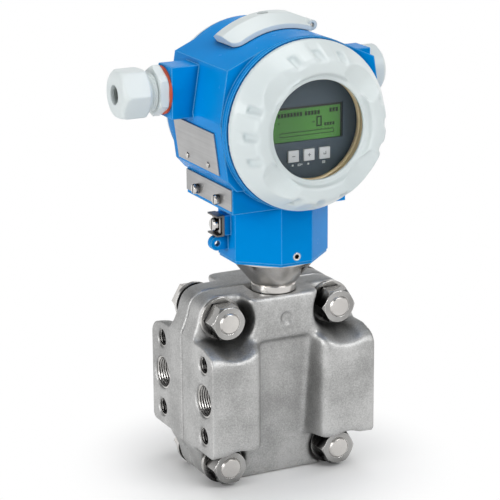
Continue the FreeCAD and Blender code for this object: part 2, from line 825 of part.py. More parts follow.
def housing():
    total = "front_rim + rear_rim - 2 * rim_length"
    barrel = cylinder(
        "barrel", "barrel_radius", total, ("0", from_neck("rim_length - front_rim"), "axis_z"), "y"
    )
    rims = cylinder(
        "rims", "rim_radius", "front_rim + rear_rim", ("0", from_neck("-front_rim"), "axis_z"), "y"
    )
    shoulder = extruded("shoulder", shoulder_outline(), "shoulder_front + shoulder_rear",
                        ("0", from_neck("shoulder_rear"), "0"), "-y")
    yoke = box("yoke", ("-yoke_x", from_neck("-yoke_half_depth"), "yoke_bottom"),
               ("yoke_right_x", from_neck("yoke_half_depth"), "axis_z - chamber_radius / 2"))
    neck_height = "yoke_bottom + rim_length - neck_bottom - neck_chamfer"
    neck = extruded("neck", neck_octagon("0"), neck_height, ("0", "-neck_y", "neck_bottom + neck_chamfer"))
    lead = extruded(
        "neck_lead", neck_octagon("neck_chamfer / 2"), "2 * neck_chamfer", ("0", "-neck_y", "neck_bottom")
    )
    ground_boss = box(
        "ground_boss",
        ("-ground_boss_x", from_neck("-ground_boss_half"), "ground_z - ground_boss_half"),
        (
            "-neck_side / 2 - spigot_radius / 2", from_neck("ground_boss_half"),
            "ground_z + ground_boss_half",
        ),
    )
    eye_end = ("-eye_x", from_neck("-eye_half_width"), "eye_z")
    eye_round = cylinder("eye_round", "eye_radius", "2 * eye_half_width", eye_end, "y")
    eye_arm = box("eye_arm", ("-eye_x", from_neck("-eye_half_width"), "eye_z - eye_radius"),
                  ("-neck_side / 2 - spigot_radius / 2", from_neck("eye_half_width"), "eye_z + eye_radius"))
    ear = cylinder(
        "flap_ear", "knuckle_radius - gap", "2 * ear_half", (PIN_X, from_neck("-ear_half"), PIN_Z), "y"
    )
    ear_foot = box(
        "flap_ear_foot",
        (f"{PIN_X} - knuckle_radius + gap", from_neck("-ear_half"), f"{PIN_Z} - 3 * knuckle_radius"),
        (f"{PIN_X} + knuckle_radius - gap", from_neck("ear_half"), PIN_Z),
    )
    post_foot = ("-flap_screw_x", "-neck_y", f"{POST_TOP} - key_well")
    post = cylinder("flap_post", "2 * flap_screw_radius", "key_well", post_foot)
    solid = fuse(
        "housing_solid", barrel, rims, shoulder, yoke, neck, lead, ground_boss, eye_round, eye_arm, ear,
        ear_foot, post, entry_boss(-1), entry_boss(1),
    )
    front_face, rear_face = from_neck("-front_rim"), from_neck("rear_rim")
    cuts = []
    for way, face, inward in (
        ("front", ("0", front_face, "axis_z"), "y"), ("rear", ("0", rear_face, "axis_z"), "-y")
    ):
        cuts += [
            cylinder(f"{way}_chamber", "chamber_radius", f"{way}_rim - partition_half", face, inward),
            cylinder(f"{way}_thread", "thread_radius", "thread_length", face, inward),
            cylinder(f"{way}_seal_seat", "seal_seat_radius", "seal_seat_depth", face, inward),
        ]
    cuts += [
        cylinder("neck_bore", "spigot_radius", "spigot_height + 2", ("0", "-neck_y", "neck_bottom")),
        cylinder(
            "wire_hole", "wire_hole_radius", "axis_z - neck_bottom",
            ("0", from_neck("-partition_half - 1.5 * wire_hole_radius"), "neck_bottom + spigot_height"),
        ),
        cylinder(
            "partition_hole", "wire_hole_radius", "2 * partition_half",
            ("0", from_neck("-partition_half"), "axis_z + entry_z"), "y",
        ),
        cylinder(
            "set_screw_hole", "set_screw_radius + fit", "neck_flat",
            ("0", from_neck("-neck_flat"), "set_screw_z"), "y",
        ),
        cylinder(
            "eye_hole", "eye_hole_radius", "4 * eye_half_width",
            ("-eye_x", from_neck("-2 * eye_half_width"), "eye_z"), "y",
        ),
        cylinder(
            "ground_hole", "ground_screw_radius + fit", "8", ("-ground_boss_x", "-neck_y", "ground_z"),
            "x",
        ),
        cylinder(
            "ear_hole", "pin_radius + fit", "2 * ear_half", (PIN_X, from_neck("-ear_half"), PIN_Z), "y"
        ),
        cylinder(
            "flap_screw_hole", "flap_screw_radius + 2 * gap", "flap_screw_length",
            ("-flap_screw_x", "-neck_y", f"{HEAD_SEAT} - flap_screw_length - 2 * gap"),
        ),
    ]
    for side, inward in ((-1, "x"), (1, "-x")):
        mouth = (f"{side} * entry_x", from_neck("entry_y"), "axis_z + entry_z")
        cuts.append(
            cylinder(
                f"entry_hole_{inward[-1]}{side + 1}", "entry_radius",
                "entry_x - chamber_radius + entry_radius", mouth, inward,
            )
        )
    for n, side in enumerate(SIDES):
        cuts.append(
            cylinder(f"rivet_hole_{n}", "rivet_radius + fit", "rivet_length", rivet_foot(side), "-x")
        )
        cuts.append(
            cylinder(f"tag_hole_{n}", "tag_screw_radius / 2 + fit", "rivet_length", tag_foot(side), "-x")
        )
    for n, across in enumerate(KEY_X):
        well = (across, "-neck_y", f"{key_floor(across)} - key_well")
        cuts.append(cylinder(f"key_hole_{n}", "key_radius + fit", "2 * key_well", well))
    return cut("housing", solid, *cuts)


node(housing())


# Screw covers: a castellated crown, a threaded skirt, and a seal that the rim presses on the housing
def ahead(height):
    """A Y position counted outward from the housing's front rim."""
    return from_neck(f"-front_rim - ({height})")


def behind(height):
    """A Y position counted outward from the housing's rear rim."""
    return from_neck(f"rear_rim + ({height})")


SKIRT = "(thread_radius - 2 * fit)"
SKIRT_BORE = f"({SKIRT} - skirt_wall)"
GLASS_TOP = "(bezel_height - lip)"
GLASS_LOW = f"({GLASS_TOP} - glass_thickness)"
CROWN_WALL = "(crown_inner_radius - crown_lean)"
COVER_FLANK = [
    (CROWN_WALL, "bezel_height"), ("crown_inner_radius", "crown_height"), ("crown_radius", "crown_height"),
    ("crown_radius + crown_flank", "crown_height - 2 * crown_flank"),
    ("crown_foot_radius", "cover_rim + 1.5 * (cover_radius - crown_foot_radius)"),
    ("cover_radius", "cover_rim"), ("cover_radius", "gap"), (SKIRT, "gap"), (SKIRT, "-skirt_length"),
    (SKIRT_BORE, "-skirt_length"),
]


def on_cover(radius, degrees, y):
    return (f"{radius} * cos({degrees})", y, f"axis_z + {radius} * sin({degrees})")


def screw_cover(name, profile, level, out):
    """A cover with four saddles cut across its crown and three scallops on each raised part."""
    blank = turned(name + "_blank", profile, ("0", level("0"), "axis_z"), out)
    crest = level("crown_height")
    soft = rounded(name + "_soft", blank, [
        (ring_of("crown_radius", "Y", crest), "crown_round"),
        (ring_of("crown_inner_radius", "Y", crest), "crown_inner_round"),
    ])
    run, fall = number_of("crown_foot_radius - crown_radius"), number_of("crown_height - cover_rim")
    cuts = []
    for quarter in range(4):
        diagonal = 90 * quarter + 45
        bearing = FreeCAD.Rotation(V(0, -1, 0), diagonal).multVec(V(1, 0, 0))
        start = on_cover(CROWN_WALL, diagonal, level("crown_height - notch_depth + notch_radius"))
        cuts.append(cylinder(f"{name}_saddle_{quarter}", "notch_radius", "cover_radius", start, bearing))
        for turn in (-1, 0, 1):
            degrees = f"{90 * quarter} + {turn} * scallop_spread"
            radial = FreeCAD.Rotation(V(0, -1, 0), number_of(degrees)).multVec(V(1, 0, 0))
            slope = radial * run - AXES[out] * fall
            start = on_cover("crown_radius", degrees, level("crown_height + scallop_radius"))
            scallop = f"{name}_scallop_{quarter}_{turn + 1}"
            cuts.append(cylinder(scallop, "scallop_radius", "scallop_length", start, slope))
    return cut(name, soft, *cuts)


def cover_seal(name, level, inward):
    return tube(
        name, "seal_seat_radius - gap", "thread_radius", "seal_seat_depth", ("0", level("gap"), "axis_z"),
        inward,
    )


GLASS_ROOM = "glass_radius + gap"
front_profile = [("window_radius", "bezel_height")] + COVER_FLANK + [
    (SKIRT_BORE, GLASS_LOW), (GLASS_ROOM, GLASS_LOW), (GLASS_ROOM, GLASS_TOP), ("window_radius", GLASS_TOP),
]
rear_profile = [("0", "bezel_height")] + COVER_FLANK + [
    (SKIRT_BORE, GLASS_LOW), (GLASS_ROOM, GLASS_TOP), ("0", GLASS_TOP)
]
node(screw_cover("front_cover", front_profile, ahead, "-y"))
node(screw_cover("rear_cover", rear_profile, behind, "y"))
node(cover_seal("front_cover_seal", ahead, "y"))
node(cover_seal("rear_cover_seal", behind, "-y"))
node(cylinder("window_glass", "glass_radius", "glass_thickness", ("0", ahead(GLASS_LOW), "axis_z"), "-y"))
node(tube("window_retainer", f"{SKIRT_BORE} - fit", "retainer_radius", "retainer_length",
          ("0", ahead(GLASS_LOW), "axis_z"), "y"))


# Key flap: a hollow arc hinged at its right end, with a captive screw and three keys under it
def flap_sector(name, section, left, right, half):
    """A slice, between two angles from the top, of a ring round the barrel with the given section."""
    far = "(2 * flap_radius)"
    ring = turned(name + "_ring", section, ("0", "-neck_y", "axis_z"), "-y")
    wedge = [
        ("0", "axis_z"), (f"-{far} * sin({left})", f"axis_z + {far} * cos({left})"),
        (f"{far} * sin({right})", f"axis_z + {far} * cos({right})"),
    ]
    return common(
        name, ring, extruded(name + "_wedge", wedge, f"2 * ({half})", ("0", from_neck(half), "0"), "-y")
    )


def flap_section(inner, band, top, half, top_half):
    """Radius and height corners: upright at both edges, then sloping to a flat top."""
    rise = [(inner, half), (band, half), (top, top_half)]
    return rise + [(radius, f"-({along})") for radius, along in reversed(rise)]


FLAP_SLOPE = "((flap_rise - flap_band) / (flap_front - flap_top_half))"
FLAP_SKIN = f"(flap_wall * sqrt(1 + {FLAP_SLOPE} ^ 2))"


def key_flap():
    outside = flap_section("barrel_radius + gap", "barrel_radius + flap_band", "flap_radius", "flap_front",
                           "flap_top_half")
    slab = flap_sector("flap_slab", outside, "flap_half_angle", "flap_pin_angle", "flap_front")
    clear = extruded("flap_clear", shoulder_outline("gap"), "shoulder_front + shoulder_rear",
                     ("0", from_neck("shoulder_rear"), "0"), "-y")
    tail_foot = "(flap_radius + gap)"
    tail = [
        (f"{tail_foot} * sin(flap_tail_angle)", f"axis_z + {tail_foot} * cos(flap_tail_angle)"),
        (f"2 * {tail_foot} * sin(flap_pin_angle)", f"axis_z + 2 * {tail_foot} * cos(flap_pin_angle)"),
        (f"{PIN_X} + knuckle_radius", f"{PIN_Z} + 0.6 * knuckle_radius"),
    ]
    above_tail = extruded("flap_tail", tail, "2 * flap_front", ("0", from_neck("flap_front"), "0"), "-y")
    slab = cut("flap_arc", slab, clear, above_tail)
    left_end = number_of("-barrel_radius * sin(flap_half_angle) + gap")
    upright = [(lambda span: span.YLength < 1e-3 and span.XMax < left_end, "flap_corner_round")]
    shell = rounded("flap_shell", slab, upright)
    inside = flap_section(
        "barrel_radius - gap", f"barrel_radius + flap_band - {FLAP_SKIN} + {FLAP_SLOPE} * flap_wall",
        "flap_radius - flap_wall", "flap_front - flap_wall",
        f"flap_top_half + (flap_wall - {FLAP_SKIN}) / {FLAP_SLOPE}",
    )
    hollow = flap_sector("flap_hollow", inside, "flap_half_angle - flap_left_wall",
                         "flap_pin_angle - flap_right_wall", "flap_front - flap_wall")
    knuckle_half = "flap_front - flap_wall / 2"
    knuckle = cylinder("flap_knuckle", "knuckle_radius", f"2 * ({knuckle_half})",
                       (PIN_X, from_neck(f"-({knuckle_half})"), PIN_Z), "y")
    boss = cylinder("flap_boss", "flap_screw_head_radius + flap_screw_wall",
                    f"axis_z + flap_radius - flap_wall * 0.7 - {POST_TOP} - gap",
                    ("-flap_screw_x", "-neck_y", f"{POST_TOP} + gap"))
    solid = fuse("flap_solid", cut("flap_skin", shell, hollow), knuckle, boss)
    slot = "(ear_half + gap)"
    cuts = [
        cylinder(
            "ear_slot", "knuckle_radius + gap", f"2 * {slot}", (PIN_X, from_neck(f"-{slot}"), PIN_Z), "y"
        ),
        box(
            "foot_slot",
            (f"{PIN_X} - knuckle_radius", from_neck(f"-{slot}"), f"{PIN_Z} - 3 * knuckle_radius"),
            (f"{PIN_X} + 2 * knuckle_radius", from_neck(slot), PIN_Z),
        ),
        cylinder(
            "pin_hole", "pin_radius + fit", "2 * flap_front", (PIN_X, from_neck("-flap_front"), PIN_Z),
            "y",
        ),
        cylinder(
            "flap_hole", "flap_screw_radius + fit", "flap_radius", ("-flap_screw_x", "-neck_y", POST_TOP)
        ),
        cylinder(
            "flap_recess", "flap_screw_head_radius + gap", "flap_radius",
            ("-flap_screw_x", "-neck_y", HEAD_SEAT),
        ),
    ]
    return cut("key_flap", solid, *cuts)


def slotted(name, head_radius, head, shank_radius, shank, at, axis):
    """A screw with a slot across its head, its seat at the given point and its head along the axis."""
    profile = [
        ("0", f"-({shank})"), (shank_radius, f"-({shank})"), (shank_radius, "0"), (head_radius, "0"),
        (head_radius, f"0.7 * {head}"), (f"0.85 * {head_radius}", head), ("0", head),
    ]
    blank = turned(name + "_blank", profile, at, axis)
    tool = doc.addObject("Part::Box", name + "_slot")
    drive(tool, Length=f"4 * {head_radius}", Width="slot_width", Height=head)
    shift = FreeCAD.Rotation(UP, AXES[axis])
    tool.Placement = FreeCAD.Placement(V(), shift)
    corner = shift.multVec(
        V(-2 * number_of(head_radius), -number_of("slot_width") / 2, number_of(head) / 2)
    )
    for letter, text, offset in zip("xyz", at, corner):
        tool.setExpression(f"Placement.Base.{letter}", f"{bound(text)} + ({offset:.4f})")
    return cut(name, blank, tool)


node(key_flap())
node(
    slotted(
        "flap_screw", "flap_screw_head_radius", "flap_screw_head", "flap_screw_radius",
        "flap_screw_length", ("-flap_screw_x", "-neck_y", HEAD_SEAT), "z",
    )
)
node(cylinder("flap_hinge_pin", "pin_radius", "2 * (flap_front - flap_wall)",
              (PIN_X, from_neck("flap_wall - flap_front"), PIN_Z), "y"))
for n, across in enumerate(KEY_X, start=1):
    foot = (across, "-neck_y", f"{key_floor(across)} + key_proud - key_length")
    profile = [("0", "0"), ("key_radius", "0"), ("key_radius", "key_length - key_radius / 4"),
               ("0.75 * key_radius", "key_length"), ("0", "key_length")]
    node(turned(f"outside_key_{n}", profile, foot))


# Display: a round bezel with a window and three keys, on a board, on the electronics insert
BEZEL_BACK = "(bezel_thickness - display_y)"
BOARD_BACK = f"({BEZEL_BACK} + board_thickness)"
LCD = [
    ("-lcd_half_width", "axis_z + lcd_z - lcd_half_height"),
    ("lcd_half_width", "axis_z + lcd_z + lcd_half_height"),
]
display_keys = []
key_holes = []
KEY_Z = "axis_z - display_key_z"


def key_box(name, middle, half, front, back):
    return box(name, (f"{middle} - ({half})", from_neck(front), f"{KEY_Z} - ({half})"),
               (f"{middle} + {half}", from_neck(back), f"{KEY_Z} + {half}"))


for n in range(3):
    middle = f"{n - 1} * display_key_pitch"
    half = "display_key_size / 2"
    front = "-display_y - display_key_proud"
    back = f"{BEZEL_BACK} - display_key_room"
    display_keys.append(key_box(f"display_key_{n + 1}", middle, half, front, back))
    key_holes.append(key_box(f"display_key_hole_{n}", middle, f"{half} + fit", "-display_y", BEZEL_BACK))
bezel_disc = cylinder(
    "bezel_disc", "bezel_radius", "bezel_thickness", ("0", from_neck("-display_y"), "axis_z"), "y"
)
lcd_window = box("lcd_window", (f"{LCD[0][0]} - fit", from_neck("-display_y"), f"{LCD[0][1]} - fit"),
                 (f"{LCD[1][0]} + fit", from_neck(BEZEL_BACK), f"{LCD[1][1]} + fit"))
node(cut("display_bezel", bezel_disc, lcd_window, *key_holes))
node(box("display_lcd", (LCD[0][0], from_neck("lcd_recess - display_y"), LCD[0][1]),
         (LCD[1][0], from_neck(BEZEL_BACK), LCD[1][1])))
for key in display_keys:
    node(key)
node(
    cylinder(
        "display_board", "board_radius", "board_thickness", ("0", from_neck(BEZEL_BACK), "axis_z"), "y"
    )
)
insert_length = f"-partition_half - {BOARD_BACK}"
insert_profile = [
    ("0", "0"), ("board_radius", "0"), ("insert_radius", "insert_radius - board_radius"),
    ("insert_radius", insert_length), ("0", insert_length),
]
node(turned("electronics_insert", insert_profile, ("0", from_neck(BOARD_BACK), "axis_z"), "y"))


# Terminal side: a block on the partition with three clamping screws between raised walls
def terminal_block():
    low = ("-terminal_half_width", from_neck("partition_half"), "axis_z - terminal_half_height")
    high = (
        "terminal_half_width", from_neck("partition_half + terminal_depth"),
        "axis_z + terminal_half_height",
    )
    cuts = []
    for n in (-1, 0, 1):
        half = "(terminal_pitch / 2 - 1)"
        floor = "partition_half + terminal_depth - terminal_screw_head - 1"
        cuts.append(
            box(
                f"terminal_bay_{n + 1}", (f"{n} * terminal_pitch - {half}", from_neck(floor), low[2]),
                (f"{n} * terminal_pitch + {half}", high[1], "axis_z + terminal_half_height / 2"),
            )
        )
        cuts.append(
            cylinder(
                f"terminal_hole_{n + 1}", "terminal_screw_radius / 2 + fit", "terminal_depth / 2",
                (f"{n} * terminal_pitch", from_neck(floor), "axis_z - terminal_half_height / 4"), "-y",
            )
        )
    return cut("terminal_block", box("terminal_body", low, high), *cuts)


node(terminal_block())
node(
    group(
        "terminal_screws",
        [
            slotted(
                f"terminal_screw_{n + 2}",
                "terminal_screw_radius",
                "terminal_screw_head",
                "terminal_screw_radius / 2",
                "terminal_depth / 2 - gap",
                (
                    f"{n} * terminal_pitch",
                    from_neck("partition_half + terminal_depth - terminal_screw_head - 1"),
                    "axis_z - terminal_half_height / 4",
                ),
                "y",
            )
            for n in (-1, 0, 1)
        ],
    )
)


# Cable gland on the left, blind plug on the right, each on its own seal
ENTRY_Y = from_neck("entry_y")
ENTRY_Z = "axis_z + entry_z"
SHANK = "(entry_radius - fit)"
COLLAR_FACE = "(entry_x + seal_thickness)"
THREAD_FOOT = f"({COLLAR_FACE} + collar_length)"
THREAD_END = f"({THREAD_FOOT} + gland_thread_length)"
DOME_FOOT = f"({THREAD_FOOT} + dome_gap)"
DOME_END = f"({DOME_FOOT} + dome_length)"
INSERT_RADIUS = "(cable_radius + insert_wall)"
SHOULDER = f"({THREAD_END} + 2 * seal_thickness)"


def left_of(distance):
    return (f"-({distance})", ENTRY_Y, ENTRY_Z)


for hand, way, sign in (("gland", "-x", "-1"), ("blind_plug", "x", "1")):
    node(
        tube(
            f"{hand}_seal", "seal_radius", "entry_radius", "seal_thickness",
            (f"{sign} * entry_x", ENTRY_Y, ENTRY_Z), way,
        )
    )


def gland_body():
    collar = hexagon("gland_collar", "collar_flats", "collar_length", left_of(COLLAR_FACE), "-x")
    barrel = [
        (INSERT_RADIUS + " + fit", "0"), (SHANK, "0"), (SHANK, f"shank_length + {THREAD_FOOT} - entry_x"),
        ("gland_thread_radius", f"shank_length + {THREAD_FOOT} - entry_x"),
        ("gland_thread_radius", f"shank_length + {THREAD_END} - entry_x"),
        (INSERT_RADIUS + " + fit", f"shank_length + {THREAD_END} - entry_x"),
    ]
    tube_body = turned("gland_tube", barrel, left_of("entry_x - shank_length"), "-x")
    bore = cylinder("gland_bore", f"{INSERT_RADIUS} + fit", "2 * collar_length", left_of(COLLAR_FACE), "-x")
    return cut("gland_body", fuse("gland_solid", collar, tube_body), bore)


def gland_dome_nut():
    blank = hexagon(
        "dome_blank", "dome_flats", "dome_length + 2 * gap", left_of(f"{DOME_FOOT} - gap"), "-x"
    )
    crest = "(dome_flats / 2 / cos(30) + fit)"
    hole = "(cable_radius + dome_lip)"
    room = "(gland_thread_radius + fit)"
    step = f"{SHOULDER} - {DOME_FOOT}"
    profile = [
        (room, "0"), ("dome_flats / 2", "0"), (crest, f"{crest} / 10"), (crest, "dome_length"),
        (hole, "dome_length"), (hole, step), (room, step),
    ]
    rough = turned("dome_rough", profile, left_of(DOME_FOOT), "-x")
    dome = rounded("dome_turned", rough, [(ring_of(crest, "X", f"-{DOME_END}"), "dome_round")])
    return common("gland_dome_nut", blank, dome)


node(gland_body())
node(gland_dome_nut())
insert_reach = f"({SHOULDER} - {THREAD_FOOT})"
flange_foot = f"{insert_reach} - seal_thickness"
node(turned("gland_insert", [
    ("cable_radius", "0"), (INSERT_RADIUS, "0"), (INSERT_RADIUS, flange_foot),
    ("gland_thread_radius - gap", flange_foot), ("gland_thread_radius - gap", insert_reach),
    ("cable_radius", insert_reach),
], left_of(THREAD_FOOT), "-x"))
plug_top = "(shank_length + seal_thickness + plug_length)"
plug = turned(
    "plug_blank",
    [
        ("0", "0"), (SHANK, "0"), (SHANK, "shank_length + seal_thickness"),
        ("plug_radius", "shank_length + seal_thickness"), ("plug_radius", f"{plug_top} - plug_chamfer"),
        ("plug_radius - plug_chamfer", plug_top), ("0", plug_top),
    ],
    ("entry_x - shank_length", ENTRY_Y, ENTRY_Z),
    "x",
)
plug_end = (f"{COLLAR_FACE} + plug_length - plug_socket_depth", ENTRY_Y, ENTRY_Z)
node(
    cut(
        "blind_plug", plug,
        hexagon("plug_socket", "plug_socket_flats", "2 * plug_socket_depth", plug_end, "x"),
    )
)


# Plates, ground terminal and set screw on the housing
def nameplate():
    top, low = side_at("nameplate_top"), side_at("nameplate_low")
    outline = [
        (f"-{top}", "nameplate_top"), (f"-{top} - plate_thickness", "nameplate_top"),
        (f"-{low} - plate_thickness", "nameplate_low"), (f"-{low}", "nameplate_low"),
    ]
    return extruded(
        "nameplate_blank", outline, "nameplate_length", ("0", from_neck("nameplate_length / 2"), "0"),
        "-y",
    )


tag_blank = box("tag_blank", ("-yoke_x - plate_thickness", from_neck("-tag_length / 2"), "tag_low"),
                ("-yoke_x", from_neck("tag_length / 2"), "tag_top"))
rivets = []
tag_screws = []
plate_holes = []
tag_holes = []
for n, side in enumerate(SIDES):
    rivet_end = "(rivet_length + rivet_proud)"
    rivets.append(
        turned(
            f"rivet_{n}",
            [
                ("0", "0"), ("rivet_radius", "0"), ("rivet_radius", f"{rivet_end} - rivet_proud / 2"),
                ("rivet_radius / 2", rivet_end), ("0", rivet_end),
            ],
            rivet_foot(side),
            "-x",
        )
    )
    plate_holes.append(cylinder(f"plate_hole_{n}", "rivet_radius + fit", rivet_end, rivet_foot(side), "-x"))
    seat = ("-yoke_x - plate_thickness", tag_foot(side)[1], "tag_screw_z")
    tag_screws.append(
        slotted(
            f"tag_screw_{n}", "tag_screw_radius", "tag_screw_height", "tag_screw_radius / 2",
            "rivet_length - gap", seat, "-x",
        )
    )
    tag_holes.append(
        cylinder(f"tag_plate_hole_{n}", "tag_screw_radius / 2 + fit", rivet_end, tag_foot(side), "-x")
    )
node(cut("nameplate", nameplate(), *plate_holes))
node(group("nameplate_rivets", rivets))
node(cut("tag_plate", tag_blank, *tag_holes))
node(group("tag_plate_screws", tag_screws))


def ground_square(name, half, start, depth):
    return box(name, (f"-({start}) - ({depth})", from_neck(f"-({half})"), f"ground_z - ({half})"),
               (f"-({start})", from_neck(half), f"ground_z + {half}"))


CLAMP_FACE = "(ground_boss_x + clamp_thickness)"
WASHER_FACE = f"({CLAMP_FACE} + clamp_thickness)"
clamp_blank = ground_square("clamp_blank", "clamp_half", "ground_boss_x", "clamp_leg")
clamp_room = box(
    "clamp_room",
    (
        "-ground_boss_x - clamp_leg", from_neck("-clamp_half"),
        "ground_z - clamp_half + clamp_thickness - gap",
    ),
    (f"-{CLAMP_FACE}", from_neck("clamp_half"), "ground_z + clamp_half - clamp_thickness + gap"),
)
ground_axis = ("-ground_boss_x", "-neck_y", "ground_z")
clamp_hole = cylinder("clamp_hole", "ground_screw_radius + fit", "clamp_leg", ground_axis, "-x")
node(cut("ground_clamp", clamp_blank, clamp_room, clamp_hole))
washer_hole = cylinder(
    "ground_washer_hole", "ground_screw_radius + fit", "2 * clamp_leg", ground_axis, "-x"
)
node(
    cut(
        "ground_washer",
        ground_square("ground_washer_blank", "ground_washer_half", CLAMP_FACE, "clamp_thickness"),
        washer_hole,
    )
)
node(slotted("ground_screw", "ground_head_radius", "ground_head", "ground_screw_radius", "2 * clamp_leg",
             (f"-{WASHER_FACE}", "-neck_y", "ground_z"), "-x"))
set_length = "neck_flat - spigot_radius - gap"
set_mouth = ("0", from_neck("-neck_flat"), "set_screw_z")
node(cut("neck_set_screw", cylinder("set_screw_blank", "set_screw_radius", set_length, set_mouth, "y"),
         hexagon("set_screw_socket", "set_screw_flats", "set_screw_flats", set_mouth, "y")))


# Every feature must build and every sub-part must be sound before anything is written
doc.recompute()
for piece in doc.Objects:
    if {"Invalid", "Error"} & set(piece.State):
        raise RuntimeError(f"{piece.Name} did not build: {piece.State}")
for piece in NODES:
    if piece.Shape.isNull() or not piece.Shape.isValid():
        raise RuntimeError(f"{piece.Name} has no sound shape")
os.makedirs("parts", exist_ok=True)
for piece in NODES:
    piece.Label = piece.Name
    piece.Shape.exportStep(f"parts/{piece.Name}.step")
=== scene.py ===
# %% [markdown]
# # A differential pressure transmitter
# The instrument has a cast steel process side, a turned neck and a blue two-chamber housing with a
# display. The solid model arrives with every piece in its true place, in metres, so this lesson adds
# the camera, the light, the finishes and the fine work that a solid model leaves out: print, threads
# and softened castings.

# %% Load the solid model
import math

import bmesh
import bpy
import numpy as np
from mathutils import Matrix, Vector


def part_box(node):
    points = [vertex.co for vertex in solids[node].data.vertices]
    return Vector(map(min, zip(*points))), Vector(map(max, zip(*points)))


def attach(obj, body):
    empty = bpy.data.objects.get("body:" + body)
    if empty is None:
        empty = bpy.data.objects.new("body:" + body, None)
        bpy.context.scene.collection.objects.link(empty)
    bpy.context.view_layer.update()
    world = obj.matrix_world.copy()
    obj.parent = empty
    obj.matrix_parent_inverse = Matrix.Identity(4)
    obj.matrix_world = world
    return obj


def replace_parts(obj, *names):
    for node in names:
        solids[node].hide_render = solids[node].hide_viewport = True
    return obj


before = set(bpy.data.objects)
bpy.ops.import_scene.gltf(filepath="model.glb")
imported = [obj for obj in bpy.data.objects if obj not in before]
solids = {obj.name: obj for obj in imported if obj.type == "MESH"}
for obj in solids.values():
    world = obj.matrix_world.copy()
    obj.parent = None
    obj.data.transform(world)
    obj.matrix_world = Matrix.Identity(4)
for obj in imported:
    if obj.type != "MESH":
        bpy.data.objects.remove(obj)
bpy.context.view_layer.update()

# %% [markdown]
# ## Camera
# The picture was taken from the front left and a little above, with a longish lens. A camera could be
# aimed by hand, but here its matrix is written from three angles, so that each can be nudged alone: the
# columns are the directions to the right, up and back, and the last column is where the camera stands.

# %% Stand the camera
EYE = np.array([-0.516, -1.018, 0.457])
YAW, PITCH, ROLL = np.radians([26.55, 16.17, -0.35])
FOCAL_PIXELS, FRAME_PIXELS, SENSOR = 2131.0, 500.0, 36.0

ahead = np.array([np.sin(YAW) * np.cos(PITCH), np.cos(YAW) * np.cos(PITCH), -np.sin(PITCH)])
level = np.array([np.cos(YAW), -np.sin(YAW), 0.0])
above = np.cross(level, ahead)
right = np.cos(ROLL) * level + np.sin(ROLL) * above
up = np.cos(ROLL) * above - np.sin(ROLL) * level
pose = np.eye(4)
pose[:3] = np.column_stack([right, up, -ahead, EYE])

lens = bpy.data.cameras.new("camera")
lens.sensor_width = SENSOR
lens.lens = FOCAL_PIXELS / FRAME_PIXELS * SENSOR
lens.clip_start, lens.clip_end = 0.01, 50.0
camera = bpy.data.objects.new("camera", lens)
camera.matrix_world = Matrix(pose.tolist())
bpy.context.scene.collection.objects.link(camera)
bpy.context.scene.camera = camera
print("lens:", round(lens.lens, 1), "mm")

# %% [markdown]
# ## Shader sums
# A finish is easier to read as a sum than as a picture of boxes and wires. Nodes could be made and
# linked one by one, but then every sum takes five lines. One small class wraps an output socket
# instead: its operators add Math nodes, one method adds any other node, and one ends the tree.


# %% Wrap a socket
class Wire:
    """An output socket of a node tree that can be added, multiplied and so on; a sum adds a Math node."""

    def __init__(self, tree, socket=None):
        self.tree = tree
        self.socket = socket

    def node(self, kind, settings=None, out=0, **values):
        """Any node: its settings are set first, then its sockets, from values or wires.

        A socket is named with _ for spaces, or by an i and its number where names repeat.
        """
        made = self.tree.nodes.new(kind)
        for name, setting in (settings or {}).items():
            setattr(made, name, setting)
        for name, value in values.items():
            index = int(name[1:]) if name[1:].isdigit() else name.replace("_", " ")
            if isinstance(value, Wire):
                self.tree.links.new(value.socket, made.inputs[index])
            else:
                made.inputs[index].default_value = value
        return Wire(self.tree, made.outputs[out])

    def end(self, kind):
        """Makes this shader the surface that a material or a world shows."""
        output = self.tree.nodes.new(kind)
        self.tree.links.new(self.socket, output.inputs["Surface"])

    def math(self, operation, first, second):
        """One Math node of two wires or numbers."""
        return self.node("ShaderNodeMath", {"operation": operation}, i0=first, i1=second)

    def __add__(self, other):
        return self.math("ADD", self, other)

    def __sub__(self, other):
        return self.math("SUBTRACT", self, other)

    def __rsub__(self, other):
        return self.math("SUBTRACT", other, self)

    def __mul__(self, other):
        return self.math("MULTIPLY", self, other)

    __radd__ = __add__
    __rmul__ = __mul__

    def above(self, low, high):
        """0 below low, 1 above high, and smooth between them."""
        smooth = {"interpolation_type": "SMOOTHSTEP"}
        return self.node("ShaderNodeMapRange", smooth, i0=self, i1=low, i2=high)

    def tint(self, dark, light):
        """A colour between two, mixed by this value; each is a wire or three numbers."""
        mix = {"data_type": "RGBA", "clamp_factor": True}
        low, high = [colour if isinstance(colour, Wire) else (*colour, 1.0) for colour in (dark, light)]
        return self.node("ShaderNodeMix", mix, out=2, i0=self, i6=low, i7=high)


print("a wire can:", [name for name in vars(Wire) if not name.startswith("_")])


# %% Colours, materials and noise
CORNER_SAMPLES = 6


def straight(colour):
    """Colours are written as a screen shows them, 0 to 255, and turned into light by the sRGB curve."""
    share = np.array(colour) / 255.0
    curve = ((share + 0.055) / 1.055) ** 2.4
    return tuple(np.where(share > 0.04045, curve, share / 12.92).tolist())


def start(name):
    """A new empty material and a wire into it."""
    material = bpy.data.materials.new(name)
    material.use_nodes = True
    material.node_tree.nodes.clear()
    return material, Wire(material.node_tree)


def rounded(tree, radius):
    """The normal that the surface would have if its corners had this radius."""
    return tree.node("ShaderNodeBevel", {"samples": CORNER_SAMPLES}, Radius=radius)


